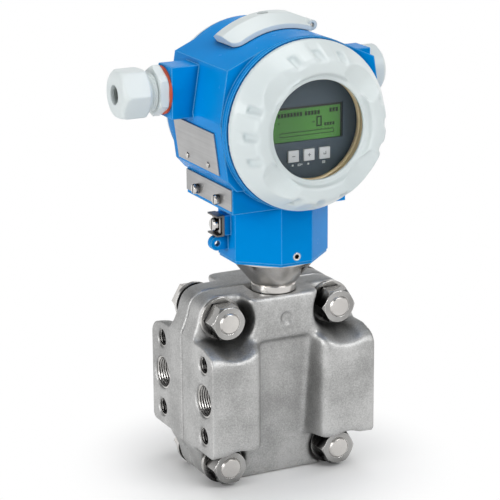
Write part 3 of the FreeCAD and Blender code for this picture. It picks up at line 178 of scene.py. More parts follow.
def close(material, tree, bump=None, depth=0.0, edge=0.0, **sockets):
    """The surface: a soft edge rounds corners in the shading, and a height map lies on top of it."""
    normal = {"Normal": rounded(tree, edge)} if edge else {}
    if bump is not None:
        bumped = tree.node("ShaderNodeBump", Height=bump, Distance=depth, Strength=1.0, **normal)
        normal = {"Normal": bumped}
    tree.node("ShaderNodeBsdfPrincipled", **sockets, **normal).end("ShaderNodeOutputMaterial")
    return material


def own_place(tree):
    """The place of a point in the object's own coordinates."""
    return tree.node("ShaderNodeTexCoord", out="Object")


def noise(tree, scale, detail=2.0, rough=0.5, stretch=None):
    """Cloudy noise from 0 to 1 over the object's own coordinates, with so many clouds in a metre."""
    place = own_place(tree)
    if stretch:
        place = tree.node("ShaderNodeVectorMath", {"operation": "MULTIPLY"}, i0=place, i1=stretch)
    return tree.node("ShaderNodeTexNoise", Vector=place, Scale=scale, Detail=detail, Roughness=rough)


print("screen grey 128 in light:", round(straight((128, 128, 128))[0], 3))

# %% [markdown]
# Shade is painted into hollows, and highlights are painted along edges. Both could be painted by
# hand, but two nodes know the shape: one counts the open sky over a point, and one rounds the normal
# near a corner.

# %% Colours that follow the shape
SKY_SAMPLES = 8
EDGE_LEAN, EDGE_SHARE = (0.01, 0.14), 0.8


def painted_hollow_shade(tree, colour, dark, reach, low=0.35, high=0.95, alone=False):
    """Painted shade: a colour that turns darker where the surface closes in.

    Low and high are shares of open sky within reach, and alone leaves out what other pieces cover.
    """
    settings = {"samples": SKY_SAMPLES, "only_local": alone}
    sky = tree.node("ShaderNodeAmbientOcclusion", settings, out="AO", Distance=reach)
    return sky.above(low, high).tint(straight(dark), colour)


def painted_edge_highlight(tree, colour, light, reach):
    """Painted highlight: a colour that turns lighter along edges, where a rounded normal leans away from
    the face's own.
    """
    flat = tree.node("ShaderNodeNewGeometry", out="True Normal")
    dot = {"operation": "DOT_PRODUCT"}
    agree = tree.node("ShaderNodeVectorMath", dot, out="Value", i0=rounded(tree, reach), i1=flat)
    share = EDGE_SHARE * (1.0 - agree).above(*EDGE_LEAN)
    return share.tint(colour, straight(light))


print("edges lighten by up to", EDGE_SHARE)

# %% [markdown]
# ## Finishes
# Powder coat is thick paint that was baked from dust: it has a fine orange-peel skin, rounds every edge
# and is thin along it. The blue coat's lighter edges are painted highlights, and the darker hollows of
# both coats are painted shade. A picture of paint could be wrapped round the pieces, but noise needs no
# seams.
# The two coated finishes share one recipe, and the plastic and rubber ones use it with a finer, duller
# grain.

# %% Coated and moulded finishes
MM = 0.001
NOISE_RANGE = (0.3, 0.7)


def coated(name, colour, shade, roughness, edge=0.0, peel=0.04 * MM, coat=0.0, gloss=0.5,
           gleam=(1.0, 1.0, 1.0), hollow_shade=None, edge_highlight=None):
    """Cloudy paint with a fine skin; one given colour is painted as shade in hollows, and another as a
    highlight on edges.
    """
    material, tree = start(name)
    cloud = noise(tree, scale=14.0, detail=3.0)
    skin = noise(tree, scale=900.0, rough=0.55)
    wear = noise(tree, scale=160.0, detail=4.0, rough=0.6)
    paint = cloud.above(*NOISE_RANGE).tint(straight(shade), straight(colour))
    # Painted shade in hollows, and painted highlights along edges.
    if hollow_shade:
        paint = painted_hollow_shade(tree, paint, hollow_shade, reach=5.0 * MM)
    if edge_highlight:
        paint = painted_edge_highlight(tree, paint, edge_highlight, reach=1.2 * MM)
    return close(
        material, tree, bump=skin, depth=peel, edge=edge, Base_Color=paint,
        Roughness=roughness + 0.08 * (wear - 0.5), Coat_Weight=coat, Coat_Roughness=0.12,
        Specular_IOR_Level=gloss, Specular_Tint=(*gleam, 1.0),
    )


# %% The paints, plastics and rubbers
# The blue's darker hollows are painted shade, and its light blue edges are painted highlights.
blue_coat = coated(
    "blue_powder_coat", (0, 140, 218), (0, 130, 208), 0.26, edge=1.4 * MM, gloss=0.06,
    gleam=(0.05, 0.6, 1.0), hollow_shade=(0, 88, 148), edge_highlight=(104, 188, 246),
)
# The covers' darker creases and hollows are painted shade.
grey_coat = coated(
    "pale_powder_coat", (218, 226, 226), (210, 219, 220), 0.34, coat=0.15, hollow_shade=(176, 192, 196),
)
pale_plastic = coated("pale_plastic", (218, 225, 225), (208, 217, 218), 0.34, 0.8 * MM, 0.01 * MM)
slate_plastic = coated("slate_plastic", (66, 80, 90), (58, 72, 82), 0.5, 0.4 * MM, 0.02 * MM)
dark_plastic = coated("dark_plastic", (44, 47, 50), (38, 41, 44), 0.55, 0.5 * MM, 0.02 * MM)
key_plastic = coated("key_plastic", (206, 210, 211), (198, 202, 204), 0.45, 0.6 * MM, 0.01 * MM)
orange_rubber = coated("orange_seal", (206, 84, 50), (190, 74, 44), 0.6, 0.4 * MM, 0.03 * MM)
red_rubber = coated("dark_red_seal", (132, 40, 46), (118, 34, 40), 0.6, 0.4 * MM, 0.03 * MM)
black_rubber = coated("black_seal", (40, 40, 42), (32, 32, 34), 0.62, 0.4 * MM, 0.03 * MM)
grey_rubber = coated("grey_insert", (128, 136, 134), (112, 120, 118), 0.6, 0.4 * MM, 0.03 * MM)
board_green = coated("board_green", (32, 92, 58), (24, 78, 48), 0.45, 0.3 * MM, 0.01 * MM)
chromate = coated("yellow_chromate", (240, 222, 180), (228, 206, 158), 0.35, peel=0.01 * MM, coat=0.3)
figure_ink = coated("display_figures", (22, 40, 20), (16, 32, 16), 0.5, peel=0.005 * MM)
mark_white = coated("white_marks", (214, 220, 222), (202, 208, 210), 0.5, peel=0.005 * MM)
mark_grey = coated("key_marks", (96, 102, 106), (84, 90, 94), 0.5, peel=0.005 * MM)
print("materials so far:", len(bpy.data.materials))

# %% [markdown]
# Steel is all reflection, so its finish is in how evenly it reflects. The flanges are cast and blasted:
# a sandy skin, cloudy patches and painted shade in the hollows. The turned neck has fine rings round its
# axis, the fasteners are nearly bright with painted shade in their hollows, the nuts are darker with
# painted shade in their pockets and painted highlights on their corners, the threads have painted shade
# in their grooves, and the plates have a brushed grain along their length. One plain grey metal could
# serve them all, but then the eye can't tell how each piece was made.


# %% Steel finishes
def cast_steel():
    """Blasted steel: patches and sand mix the colour, and grain, swell and sand add up to its height."""
    material, tree = start("blasted_cast_steel")
    patch = noise(tree, scale=30.0, detail=4.0, rough=0.6)
    grain = noise(tree, scale=520.0, detail=4.0, rough=0.62)
    swell = noise(tree, scale=60.0)
    sand = noise(tree, scale=1300.0, detail=3.0, rough=0.7)
    speckle = (patch * 0.55 + sand * 0.45).above(0.36, 0.64)
    skin = speckle.tint(straight((156, 156, 155)), straight((200, 200, 199)))
    # The hollows and pockets get painted shade.
    return close(
        material, tree, bump=grain * 0.5 + swell + sand * 0.22, depth=0.3 * MM, Metallic=1.0,
        Base_Color=painted_hollow_shade(tree, skin, (116, 116, 116), reach=22.0 * MM, low=0.25, alone=True),
        Roughness=0.36 + 0.14 * patch + 0.1 * grain,
    )


def turned_steel(name, light, dark, roughness, edge=0.0, rings=900.0, hollow_shade=None, corner_highlight=None):
    """Fine rings along the axis and soft smudges; one colour may be painted as shade in hollows, and one as
    a highlight on edges.
    """
    material, tree = start(name)
    lathe = noise(tree, scale=rings, rough=0.6, stretch=(0.03, 0.03, 1.0))
    smudge = noise(tree, scale=60.0, detail=3.0)
    metal = smudge.above(*NOISE_RANGE).tint(straight(dark), straight(light))
    # Painted shade in hollows, and a painted highlight along edges.
    if hollow_shade:
        metal = painted_hollow_shade(tree, metal, hollow_shade, reach=12.0 * MM, low=0.4, high=0.85)
    if corner_highlight:
        metal = painted_edge_highlight(tree, metal, corner_highlight, reach=0.7 * MM)
    return close(
        material, tree, bump=lathe, depth=0.01 * MM, edge=edge, Metallic=1.0, Base_Color=metal,
        Roughness=roughness + 0.08 * (lathe - 0.5) + 0.06 * smudge,
    )


def brushed_plate():
    """Grain that is stretched along the plates, and soft clouds."""
    material, tree = start("brushed_plate")
    grain = noise(tree, scale=700.0, detail=3.0, rough=0.65, stretch=(1.0, 0.02, 1.0))
    cloud = noise(tree, scale=45.0)
    blend = (cloud * 0.5 + grain * 0.5).above(*NOISE_RANGE)
    return close(
        material, tree, bump=grain, depth=0.01 * MM, edge=0.3 * MM, Metallic=1.0,
        Base_Color=blend.tint(straight((168, 168, 168)), straight((188, 188, 188))),
        Roughness=0.38 + 0.1 * grain,
    )


# %% The steels
casting_steel = cast_steel()
neck_steel = turned_steel(
    "turned_neck_steel", (214, 211, 207), (196, 193, 190), 0.2, 0.6 * MM, rings=1500.0,
)
# The fasteners, nuts and threads get painted shade in their hollows; the nuts' light corners are painted
# highlights.
bright_steel = turned_steel(
    "fastener_steel", (218, 216, 213), (200, 198, 195), 0.12, 0.5 * MM, hollow_shade=(44, 44, 44),
)
nut_steel = turned_steel(
    "nut_steel", (180, 179, 177), (150, 149, 147), 0.16, 0.5 * MM, hollow_shade=(30, 30, 30),
    corner_highlight=(236, 235, 233),
)
thread_steel = turned_steel("thread_steel", (206, 204, 201), (188, 186, 183), 0.2, hollow_shade=(22, 22, 22))
dark_steel = turned_steel("dark_fastener_steel", (128, 126, 124), (104, 102, 100), 0.32, 0.4 * MM)
plate_steel = brushed_plate()
print("materials with the steels:", len(bpy.data.materials))

# %% [markdown]
# The window is a thick disc of clear glass. The display behind it is a green liquid crystal panel: a
# glossy dark green sheet with a faint pixel grid, and painted shadow along its right and top edges,
# where the recess shades it. It could glow, but an unlit panel only reflects.

# %% Glass and display finishes
# Width and fade of the painted shadow that the recess casts along the panel's right and top edges.
PANEL_SHADOW, SHADOW_FADE = 1.2 * MM, 0.24 * MM


def corners(node):
    """The low and the high corner of a solid's box, in metres."""
    return np.array(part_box(node))


def window_glass():
    """Clear, with hardly a smear. Its low index keeps what lies behind it in place."""
    material, tree = start("window_glass")
    smear = noise(tree, scale=30.0)
    return close(
        material, tree, Base_Color=(1.0, 1.0, 1.0, 1.0), Transmission_Weight=1.0, IOR=1.1,
        Roughness=0.004 * smear,
    )


def crystal_panel():
    """Green clouds and pixels, with painted shadow where a point comes near the right or the top edge."""
    material, tree = start("green_crystal_panel")
    glow = noise(tree, scale=24.0)
    grid = noise(tree, scale=2600.0, detail=0.0)
    leaf = (glow * 0.8 + grid * 0.2).above(*NOISE_RANGE)
    green = leaf.tint(straight((52, 112, 38)), straight((68, 132, 48)))
    place = own_place(tree)
    across = tree.node("ShaderNodeSeparateXYZ", out="X", Vector=place)
    tall = tree.node("ShaderNodeSeparateXYZ", out="Z", Vector=place)
    # Painted shadow along the right and top edges.
    right_end, _, top_end = corners("display_lcd")[1] - PANEL_SHADOW
    right_edge = across.above(right_end - SHADOW_FADE, right_end)
    top_edge = tall.above(top_end - SHADOW_FADE, top_end)
    recess_shadow = tree.math("MAXIMUM", right_edge, top_edge)
    return close(
        material, tree, Base_Color=recess_shadow.tint(green, straight((24, 36, 26))),
        Roughness=0.28 + 0.05 * grid, Coat_Weight=0.3, Coat_Roughness=0.08,
    )


glass = window_glass()
panel_green = crystal_panel()
print("materials with glass and display:", len(bpy.data.materials))

# %% [markdown]
# Each solid keeps its own shape and takes the finish of the real piece. The finishes could be given one
# by one as the pieces come, but one table shows at a glance what is made of what.

# %% Give every solid its finish
FINISHES = {
    blue_coat: ["housing"],
    grey_coat: ["front_cover", "rear_cover"],
    pale_plastic: ["key_flap", "gland_body", "gland_dome_nut", "blind_plug"],
    casting_steel: ["front_process_flange", "rear_process_flange"],
    neck_steel: [
        "sensor_cell", "port_plugs", "front_diaphragm", "rear_diaphragm", "flap_hinge_pin", "flange_bolts",
    ],
    bright_steel: [
        "flange_washers", "nameplate_rivets", "tag_plate_screws", "terminal_screws", "neck_set_screw",
        "ground_washer", "ground_screw",
    ],
    nut_steel: ["flange_nuts"],
    dark_steel: ["flap_screw", "ground_clamp"],
    plate_steel: ["nameplate", "tag_plate"],
    chromate: ["window_retainer"],
    glass: ["window_glass"],
    black_rubber: [
        "front_flange_seal", "rear_flange_seal", "neck_seal", "front_cover_seal", "rear_cover_seal",
    ],
    grey_rubber: ["gland_insert"],
    orange_rubber: ["gland_seal"],
    red_rubber: ["blind_plug_seal"],
    slate_plastic: ["display_bezel"],
    dark_plastic: ["electronics_insert", "terminal_block"],
    panel_green: ["display_lcd"],
    key_plastic: [f"{where}_key_{number}" for where in ("display", "outside") for number in (1, 2, 3)],
    board_green: ["display_board"],
}
for finish, names in FINISHES.items():
    for name in names:
        mesh = solids[name].data
        mesh.materials.clear()
        mesh.materials.append(finish)
bare = set(solids) - {name for names in FINISHES.values() for name in names}
print("solids with no finish:", sorted(bare))

# %% [markdown]
# ## Cast skins
# The flanges and the covers are castings, and a casting has hardly a sharp edge: metal and mould both
# round it. A bevel could round the solids, but it stumbles where many faces meet. So each casting gets
# a skin: a copy of the solid is meshed again on an even grid and then relaxed, which moves every point
# towards the mean of its neighbours, some times over. Flat faces stay where they are, and edges melt
# into fillets.


# %% Relax a copy of a solid
def even_copy(node, voxel):
    """A closed mesh of nearly equal quads over the surface of a node."""
    work = bmesh.new()
    work.from_mesh(solids[node].data)
    bmesh.ops.remove_doubles(work, verts=work.verts, dist=1e-7)
    rough = bpy.data.meshes.new(node + "_rough")
    work.to_mesh(rough)
    work.free()
    carrier = bpy.data.objects.new(node + "_rough", rough)
    bpy.context.scene.collection.objects.link(carrier)
    remesh = carrier.modifiers.new("even", "REMESH")
    remesh.mode, remesh.voxel_size = "VOXEL", voxel
    shape = carrier.evaluated_get(bpy.context.evaluated_depsgraph_get())
    even = bpy.data.meshes.new_from_object(shape)
    bpy.data.objects.remove(carrier)
    bpy.data.meshes.remove(rough)
    return even


def relaxed(spots, edges, free, rounds):
    """Each round moves a point by its freedom times half the way to the mean of its neighbours."""
    count = len(spots)
    ends = np.concatenate([edges[:, 0], edges[:, 1]])
    others = np.concatenate([edges[:, 1], edges[:, 0]])
    joined = np.bincount(ends, minlength=count)[:, None]
    for _ in range(rounds):
        sums = [np.bincount(ends, spots[others, axis], count) for axis in range(3)]
        spots = spots + 0.5 * free[:, None] * (np.stack(sums, axis=1) / joined - spots)
    return spots


# %% Stand a skin in a solid's place
def of_points(mesh, what):
    """A row of three numbers for each point of a mesh, such as its place or its normal."""
    values = np.empty(3 * len(mesh.vertices))
    mesh.vertices.foreach_get(what, values)
    return values.reshape(-1, 3)


def stand(name, mesh, finish, body):
    """An object of a mesh that has one finish and rides on a body."""
    mesh.materials.clear()
    mesh.materials.append(finish)
    made = bpy.data.objects.new(name, mesh)
    bpy.context.scene.collection.objects.link(made)
    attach(made, body)
    print(name, "has", len(mesh.polygons), "faces")
    return made


def cast_skin(name, node, finish, body, voxel, rounds, freedom, relief=None, stamp=None):
    """The relaxed copy stands for the node: freedom says, from 0 to 1, how far each point may move.

    Relief moves points before they are relaxed, and stamp moves them afterwards.
    """
    mesh = even_copy(node, voxel)
    mesh.name = name
    edges = np.empty(2 * len(mesh.edges), dtype=np.int32)
    mesh.edges.foreach_get("vertices", edges)
    spots = of_points(mesh, "co")
    if relief:
        spots = relief(spots, of_points(mesh, "normal"))
    spots = relaxed(spots, edges.reshape(-1, 2), freedom(spots), rounds)
    if stamp:
        spots = stamp(spots)
    mesh.vertices.foreach_set("co", spots.ravel())
    mesh.update()
    mesh.shade_smooth()
    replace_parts(stand(name, mesh, finish, body), node)


# %% [markdown]
# The process flanges are bolted against the sensor cell. Their ports, taps and joint faces are
# machined, so those places are held while the rest melts. A round dent in the outer face, above the
# web, is stamped in afterwards: relaxing would wash it out.

# %% Skins of the flanges
FLANGE_GRID, FLANGE_ROUNDS = 0.9 * MM, 26
PORT_PLANE = corners("front_process_flange")[1][0]
PORT_REACH, PORT_LEVEL, PORT_BORE = 27.0 * MM, 53.5 * MM, 9.1 * MM
TAP_BORE, TAP_PITCH = 4.95 * MM, 41.3 * MM
HOLE_MARGIN, HOLE_START = 0.6 * MM, 25.0 * MM
PAD_FADE, JOINT_START, JOINT_FADE = 2.0 * MM, 0.5 * MM, 1.5 * MM
DENT_X, DENT_Z, DENT_RADIUS, DENT_DEPTH, DENT_RIM = 0.8 * MM, 94.3 * MM, 3.9 * MM, 1.2 * MM, 0.3
FACE_REACH = 25.0 * MM


def part_of(value, span):
    """How far a value has come from 0 through a span, held between 0 and 1."""
    return np.clip(value / span, 0.0, 1.0)


def flange_freedom(spots):
    """Free where the skin is cast: not on the side pads, in the holes or on the flanges' joint."""
    x, y, z = np.abs(spots[:, 0]), np.abs(spots[:, 1]), spots[:, 2]
    off_pad = part_of(PORT_PLANE - HOLE_MARGIN - x, PAD_FADE)
    off_joint = part_of(y - JOINT_START, JOINT_FADE)
    free = np.minimum(off_pad, off_joint)
    for bore, rise in ((PORT_BORE, 0.0), (TAP_BORE, TAP_PITCH / 2), (TAP_BORE, -TAP_PITCH / 2)):
        off_axis = np.hypot(y - PORT_REACH, z - PORT_LEVEL - rise)
        free = np.where((off_axis < bore + HOLE_MARGIN) & (x > HOLE_START), 0.0, free)
    return free


def round_dent(spots):
    """Points of the outer face move inward by the dent's depth, which falls off near its rim."""
    away = np.hypot(spots[:, 0] - DENT_X, spots[:, 2] - DENT_Z) / DENT_RADIUS
    share = part_of(1.0 - away, DENT_RIM)
    sink = DENT_DEPTH * share * share * (3.0 - 2.0 * share)
    moved = spots.copy()
    moved[:, 1] -= np.where(np.abs(spots[:, 1]) > FACE_REACH, np.sign(spots[:, 1]) * sink, 0.0)
    return moved


for way in ("front", "rear"):
    cast_skin(
        f"cast_{way}_flange", f"{way}_process_flange", casting_steel, "process",
        FLANGE_GRID, FLANGE_ROUNDS, flange_freedom, stamp=round_dent,
    )

# %% [markdown]
# The screw covers have a raised crown that gives a hand its grip: a flat saddle crosses it at each
# diagonal, and small scallops lie between. The solids have them with sharp edges, and relaxing makes
# them shallow. They could be held, but then their edges stay sharp, so the copy's points sink a little
# first and only a few rounds follow.

# %% Skins of the covers
COVER_GRID, COVER_ROUNDS, SEAT_FREEDOM = 0.6 * MM, 4, 0.15
COVER_LEVEL = corners("front_cover").mean(axis=0)[2]
HOUSING_FRONT, HOUSING_REAR = corners("housing")[:, 1]
HOUSING_MIDDLE, RIM_REACH = (HOUSING_FRONT + HOUSING_REAR) / 2, (HOUSING_REAR - HOUSING_FRONT) / 2
# Angles round the covers' axis are in degrees.
QUARTER, DIAGONAL, RAMP = 90.0, 45.0, 1.5
SADDLE_HALF, SCALLOP_HALF, SCALLOP_STEP = 12.5, 5.0, 19.0
SADDLE_FLOOR, SADDLE_INNER = 15.4 * MM, 30.0 * MM
SCALLOP_DEPTH, SCALLOP_INNER, SCALLOP_START, SCALLOP_FADE = 1.1 * MM, 37.0 * MM, 4.0 * MM, 6.0 * MM
SKIRT, SEAT, LIP_RADIUS, OUTWARD = 2.0 * MM, 0.8 * MM, 25.0 * MM, 0.35


def cover_place(spots):
    """Each point's distance from the covers' axis, and how far it lies outside the housing's rim."""
    radius = np.hypot(spots[:, 0], spots[:, 2] - COVER_LEVEL)
    return radius, np.abs(spots[:, 1] - HOUSING_MIDDLE) - RIM_REACH


def cover_relief(spots, normals):
    """Outer points sink towards the housing: to a floor across each diagonal, and in scallops between."""
    side = np.sign(spots[:, 1] - HOUSING_MIDDLE)
    radius, out = cover_place(spots)
    x, z = spots[:, 0], spots[:, 2] - COVER_LEVEL
    radial = (normals[:, 0] * x + normals[:, 2] * z) / np.maximum(radius, MM)
    faces_out = normals[:, 1] * side + radial > OUTWARD
    turn = np.degrees(np.arctan2(z, x)) % QUARTER
    saddle = part_of(SADDLE_HALF - np.abs(turn - DIAGONAL), RAMP)
    sink = np.where(radius > SADDLE_INNER, saddle * np.maximum(out - SADDLE_FLOOR, 0.0), 0.0)
    from_middle = np.minimum(turn, QUARTER - turn)
    near = np.minimum(from_middle, np.abs(from_middle - SCALLOP_STEP))
    scallop = part_of(SCALLOP_HALF - near, RAMP) * part_of(out - SCALLOP_START, SCALLOP_FADE)
    sink += np.where(radius > SCALLOP_INNER, scallop * SCALLOP_DEPTH, 0.0)
    moved = spots.copy()
    moved[:, 1] -= side * np.where(faces_out & (out > SKIRT), sink, 0.0)
    return moved


def cover_freedom(spots):
    """Free outside the joint with the housing and outside the bore that holds the glass."""
    radius, out = cover_place(spots)
    return np.where((out > SEAT) & (radius > LIP_RADIUS), 1.0, SEAT_FREEDOM)


for way in ("front", "rear"):
    cast_skin(
        f"cast_{way}_cover", f"{way}_cover", grey_coat, f"{way}_cover",
        COVER_GRID, COVER_ROUNDS, cover_freedom, relief=cover_relief,
    )

# %% [markdown]
# ## Turned pieces with threads
# A thread could be cut with a screw modifier, but a spun profile is simpler to read: a point of the
# surface is its place along the axis plus its radius turned round it. A thread is then a ripple of the
# radius that moves on by one pitch in each turn. Profiles that run back to their start give shells with
# no open edge.

# %% Spin a closed profile
AXES = {"x": np.eye(3), "y": np.eye(3)[[1, 0, 2]]}


def spun(radius, along, centre, axis):
    """Centre + along * axis + radius * (cos turn, sin turn): profile points in rows, turns in columns."""
    main, first, second = AXES[axis]
    turn = 2.0 * math.pi * np.arange(radius.shape[1]) / radius.shape[1]
    ring = np.cos(turn)[:, None] * first + np.sin(turn)[:, None] * second
    return np.array(centre) + along[..., None] * main + radius[..., None] * ring


def wrapped(points):
    """The quads of a grid that closes on itself both ways, made to face outward by its volume's sign."""
    rows, columns = points.shape[:2]
    row, column = np.meshgrid(np.arange(rows), np.arange(columns), indexing="ij")
    here, below = row * columns, (row + 1) % rows * columns
    beside = (column + 1) % columns
    loops = [here + column, here + beside, below + beside, below + column]
    quads = np.stack(loops, axis=-1).reshape(-1, 4)
    spots = points.reshape(-1, 3)
    first, second, third, fourth = (spots - spots.mean(axis=0))[quads].transpose(1, 0, 2)
    volume = np.sum(first * (np.cross(second, third) + np.cross(third, fourth)))
    return spots, quads if volume > 0 else quads[:, ::-1]


def put(name, shells, finish, body, crease=35.0):
    """One object of closed shells, smooth but for edges sharper than the crease, in degrees."""
    starts = np.cumsum([0] + [len(spots) for spots, _ in shells])
    spots = np.concatenate([spots for spots, _ in shells])
    quads = np.concatenate([quads + first for (_, quads), first in zip(shells, starts)])
    mesh = bpy.data.meshes.new(name)
    mesh.from_pydata(spots.tolist(), [], quads.tolist(), shade_flat=False)
    mesh.set_sharp_from_angle(angle=math.radians(crease))
    return stand(name, mesh, finish, body)


# %% [markdown]
# The ports and the threaded holes beside them show their thread as bright rings in the dark. Each gets
# a thin sleeve: its inside carries the thread, and its outside lies hidden in the metal of the flange.
# The ports on the right are plugged, so only the left ones have a sleeve.

# %% Threads in the flanges
SLEEVE_WALL, SLEEVE_COLUMNS, STEPS_PER_PITCH, SLEEVE_CREASE = 0.3 * MM, 60, 6, 60.0
PORT_THREAD = {
    "bore": PORT_BORE, "mouth": 1.2 * MM, "depth": 14.0 * MM, "pitch": 1.41 * MM, "height": 0.75 * MM,
}
TAP_THREAD = {
    "bore": TAP_BORE, "mouth": 1.05 * MM, "depth": 16.0 * MM, "pitch": 1.5 * MM, "height": 0.7 * MM,
}


def ripple(along, columns, pitch):
    """A triangle wave from 0 to 1 along the axis that moves on by one pitch in a turn."""
    share = (along[:, None] / pitch + np.arange(columns) / columns) % 1.0
    return 1.0 - np.abs(2.0 * share - 1.0)


def thread_sleeve(side, y, z, bore, mouth, depth, pitch, height):
    """Radius = bore - height * ripple inside, from mouth to depth, and a plain wall outside the bore."""
    along = np.linspace(mouth, depth, int((depth - mouth) / pitch * STEPS_PER_PITCH))
    inside = bore - height * ripple(along, SLEEVE_COLUMNS, pitch)
    outside = np.full((2, SLEEVE_COLUMNS), bore + SLEEVE_WALL)
    radius = np.vstack([inside, outside])
    inward = np.concatenate([along, [depth, mouth]])[:, None]
    return wrapped(spun(radius, side * (PORT_PLANE - inward), (0.0, y, z), "x"))


def flange_threads(name, y):
    """The left port's sleeve and those of the four taps, two on each side."""
    sleeves = [thread_sleeve(-1, y, PORT_LEVEL, **PORT_THREAD)]
    for side in (-1, 1):
        for rise in (-TAP_PITCH / 2, TAP_PITCH / 2):
            sleeves.append(thread_sleeve(side, y, PORT_LEVEL + rise, **TAP_THREAD))
    return put(name, sleeves, thread_steel, "process", SLEEVE_CREASE)


flange_threads("front_flange_threads", -PORT_REACH)
flange_threads("rear_flange_threads", PORT_REACH)

# %% [markdown]
# The gland's body is a moulded hexagon collar with a coarse thread for the dome nut. The hexagon could
# be a prism of its own, but it is also only a radius: its flats lie at the same distance from the axis,
# so the radius grows with 1 / cos towards a corner. One profile then gives the whole body.

# %% Gland body
gland_low, gland_high = corners("gland_body")
GLAND_AXIS = (0.0, (gland_low[1] + gland_high[1]) / 2, (gland_low[2] + gland_high[2]) / 2)
HALF_FLATS = (gland_high[1] - gland_low[1]) / 2
SHANK_END, THREAD_END = -gland_high[0], -gland_low[0]
COLLAR_FACE, COLLAR_END = -corners("gland_seal")[0][0], -corners("gland_insert")[1][0]
SHANK_RADIUS, GLAND_BORE = 9.96 * MM, 8.05 * MM
GLAND_THREAD, GLAND_PITCH, GLAND_HEIGHT, GLAND_ROWS = 10.6 * MM, 1.75 * MM, 0.85 * MM, 73
COLLAR_RIM, CHAMFER_RADIUS, CHAMFER_SLOPE = np.array([0.0, 0.35, 0.7]) * MM, 12.5 * MM, 2.2
GLAND_COLUMNS, GLAND_CREASE = 96, 30.0


def gland_body():
    """Radius along the axis: bore, shank, collar (flats / cos, cut by a chamfer), thread - ripple, bore."""
    turn = 2.0 * math.pi * np.arange(GLAND_COLUMNS) / GLAND_COLUMNS
    from_flat = (turn + math.pi / 6) % (math.pi / 3) - math.pi / 6
    collar = np.concatenate([COLLAR_FACE + COLLAR_RIM, (COLLAR_END - COLLAR_RIM)[::-1]])
    chamfer = CHAMFER_RADIUS + CHAMFER_SLOPE * np.minimum(collar - COLLAR_FACE, COLLAR_END - collar)
    collar_radius = np.minimum(HALF_FLATS / np.cos(from_flat), chamfer[:, None])
    thread = np.linspace(COLLAR_END, THREAD_END, GLAND_ROWS)
    thread_radius = GLAND_THREAD - GLAND_HEIGHT * ripple(thread, GLAND_COLUMNS, GLAND_PITCH)
    bore = np.full((1, GLAND_COLUMNS), GLAND_BORE)
    shank = np.full((2, GLAND_COLUMNS), SHANK_RADIUS)
    radius = np.vstack([bore, shank, collar_radius, thread_radius, bore])
    along = np.concatenate([[SHANK_END, SHANK_END, COLLAR_FACE], collar, thread, [THREAD_END]])[:, None]
    shell = wrapped(spun(radius, -along, GLAND_AXIS, "x"))
    return put("moulded_gland_body", [shell], pale_plastic, "housing", GLAND_CREASE)


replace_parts(gland_body(), "gland_body")

# %% [markdown]
# The dome nut is moulded, so its hexagon flows into its dome. It gets a skin like the castings: the
# copy is first turned so that a flat looks forward, which its round inside allows, and only the outside
# is free to melt.

# %% Skin of the dome nut
NUT_GRID, NUT_ROUNDS, BORE_FREEDOM = 0.4 * MM, 10, 0.1
NUT_WALL, NUT_MOUTH, NUT_TURN = 11.2 * MM, 6.0 * MM, math.pi / 6


def nut_freedom(spots):
    """Free outside the threaded bore, and on the dome in front of it."""
    radius = np.hypot(spots[:, 1] - GLAND_AXIS[1], spots[:, 2] - GLAND_AXIS[2])
    dome = (spots[:, 0] < -THREAD_END) & (radius > NUT_MOUTH)
    return np.where((radius > NUT_WALL) | dome, 1.0, BORE_FREEDOM)


def turned_nut(spots, _normals):
    """Every point turned by a twelfth of a turn round the gland's axis."""
    y, z = spots[:, 1] - GLAND_AXIS[1], spots[:, 2] - GLAND_AXIS[2]
    cos, sin = math.cos(NUT_TURN), math.sin(NUT_TURN)
    turned_y = GLAND_AXIS[1] + cos * y - sin * z
    turned_z = GLAND_AXIS[2] + sin * y + cos * z
    return np.stack([spots[:, 0], turned_y, turned_z], axis=1)


cast_skin(
    "moulded_dome_nut", "gland_dome_nut", pale_plastic, "gland_dome_nut",
    NUT_GRID, NUT_ROUNDS, nut_freedom, relief=turned_nut,
)

# %% [markdown]
# Behind the glass a yellow ring holds it in the cover. Fine grooves run round its face, which show
# through the window as tan lines. A bump in the finish could fake them, but the glass is close and real
# grooves catch light.

# %% Ribbed retainer ring
GLASS_GAP = 0.08 * MM
RETAINER_FRONT, RETAINER_BACK = corners("window_retainer")[:, 1] + (GLASS_GAP, 0.0)
RETAINER_OUTER, RETAINER_BORE = 38.3 * MM, 28.4 * MM
FACE_INNER, FACE_WIDTH, FACE_ROWS = 27.2 * MM, 6.2 * MM, 25
GROOVES, GROOVE_DEPTH, RETAINER_COLUMNS = 4, 0.3 * MM, 128


def ribbed_retainer():
    """A face that widens row by row, its depth a triangle wave, one for a groove, and a plain back."""
    share = np.linspace(0.0, 1.0, FACE_ROWS)
    wave = 1.0 - np.abs(2.0 * (GROOVES * share % 1.0) - 1.0)
    face_radius = FACE_INNER + FACE_WIDTH * share
    radius = np.concatenate([face_radius, [RETAINER_OUTER, RETAINER_OUTER, RETAINER_BORE]])
    face = RETAINER_FRONT + GROOVE_DEPTH * wave
    along = np.concatenate([face, [RETAINER_FRONT, RETAINER_BACK, RETAINER_BACK]])
    grid = np.repeat(radius[:, None], RETAINER_COLUMNS, axis=1)
    shell = wrapped(spun(grid, along[:, None], (0.0, 0.0, COVER_LEVEL), "y"))
    return put("ribbed_retainer", [shell], chromate, "front_cover")


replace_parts(ribbed_retainer(), "window_retainer")

# %% [markdown]
# ## Display print
# The panel shows rows of small blocks, a plain figure and a bar. A picture could be laid on it, but
# small tablets stay sharp at any distance. Each is closed and thin, and given as left, right, bottom
# and top in millimetres from the middle of what carries it.

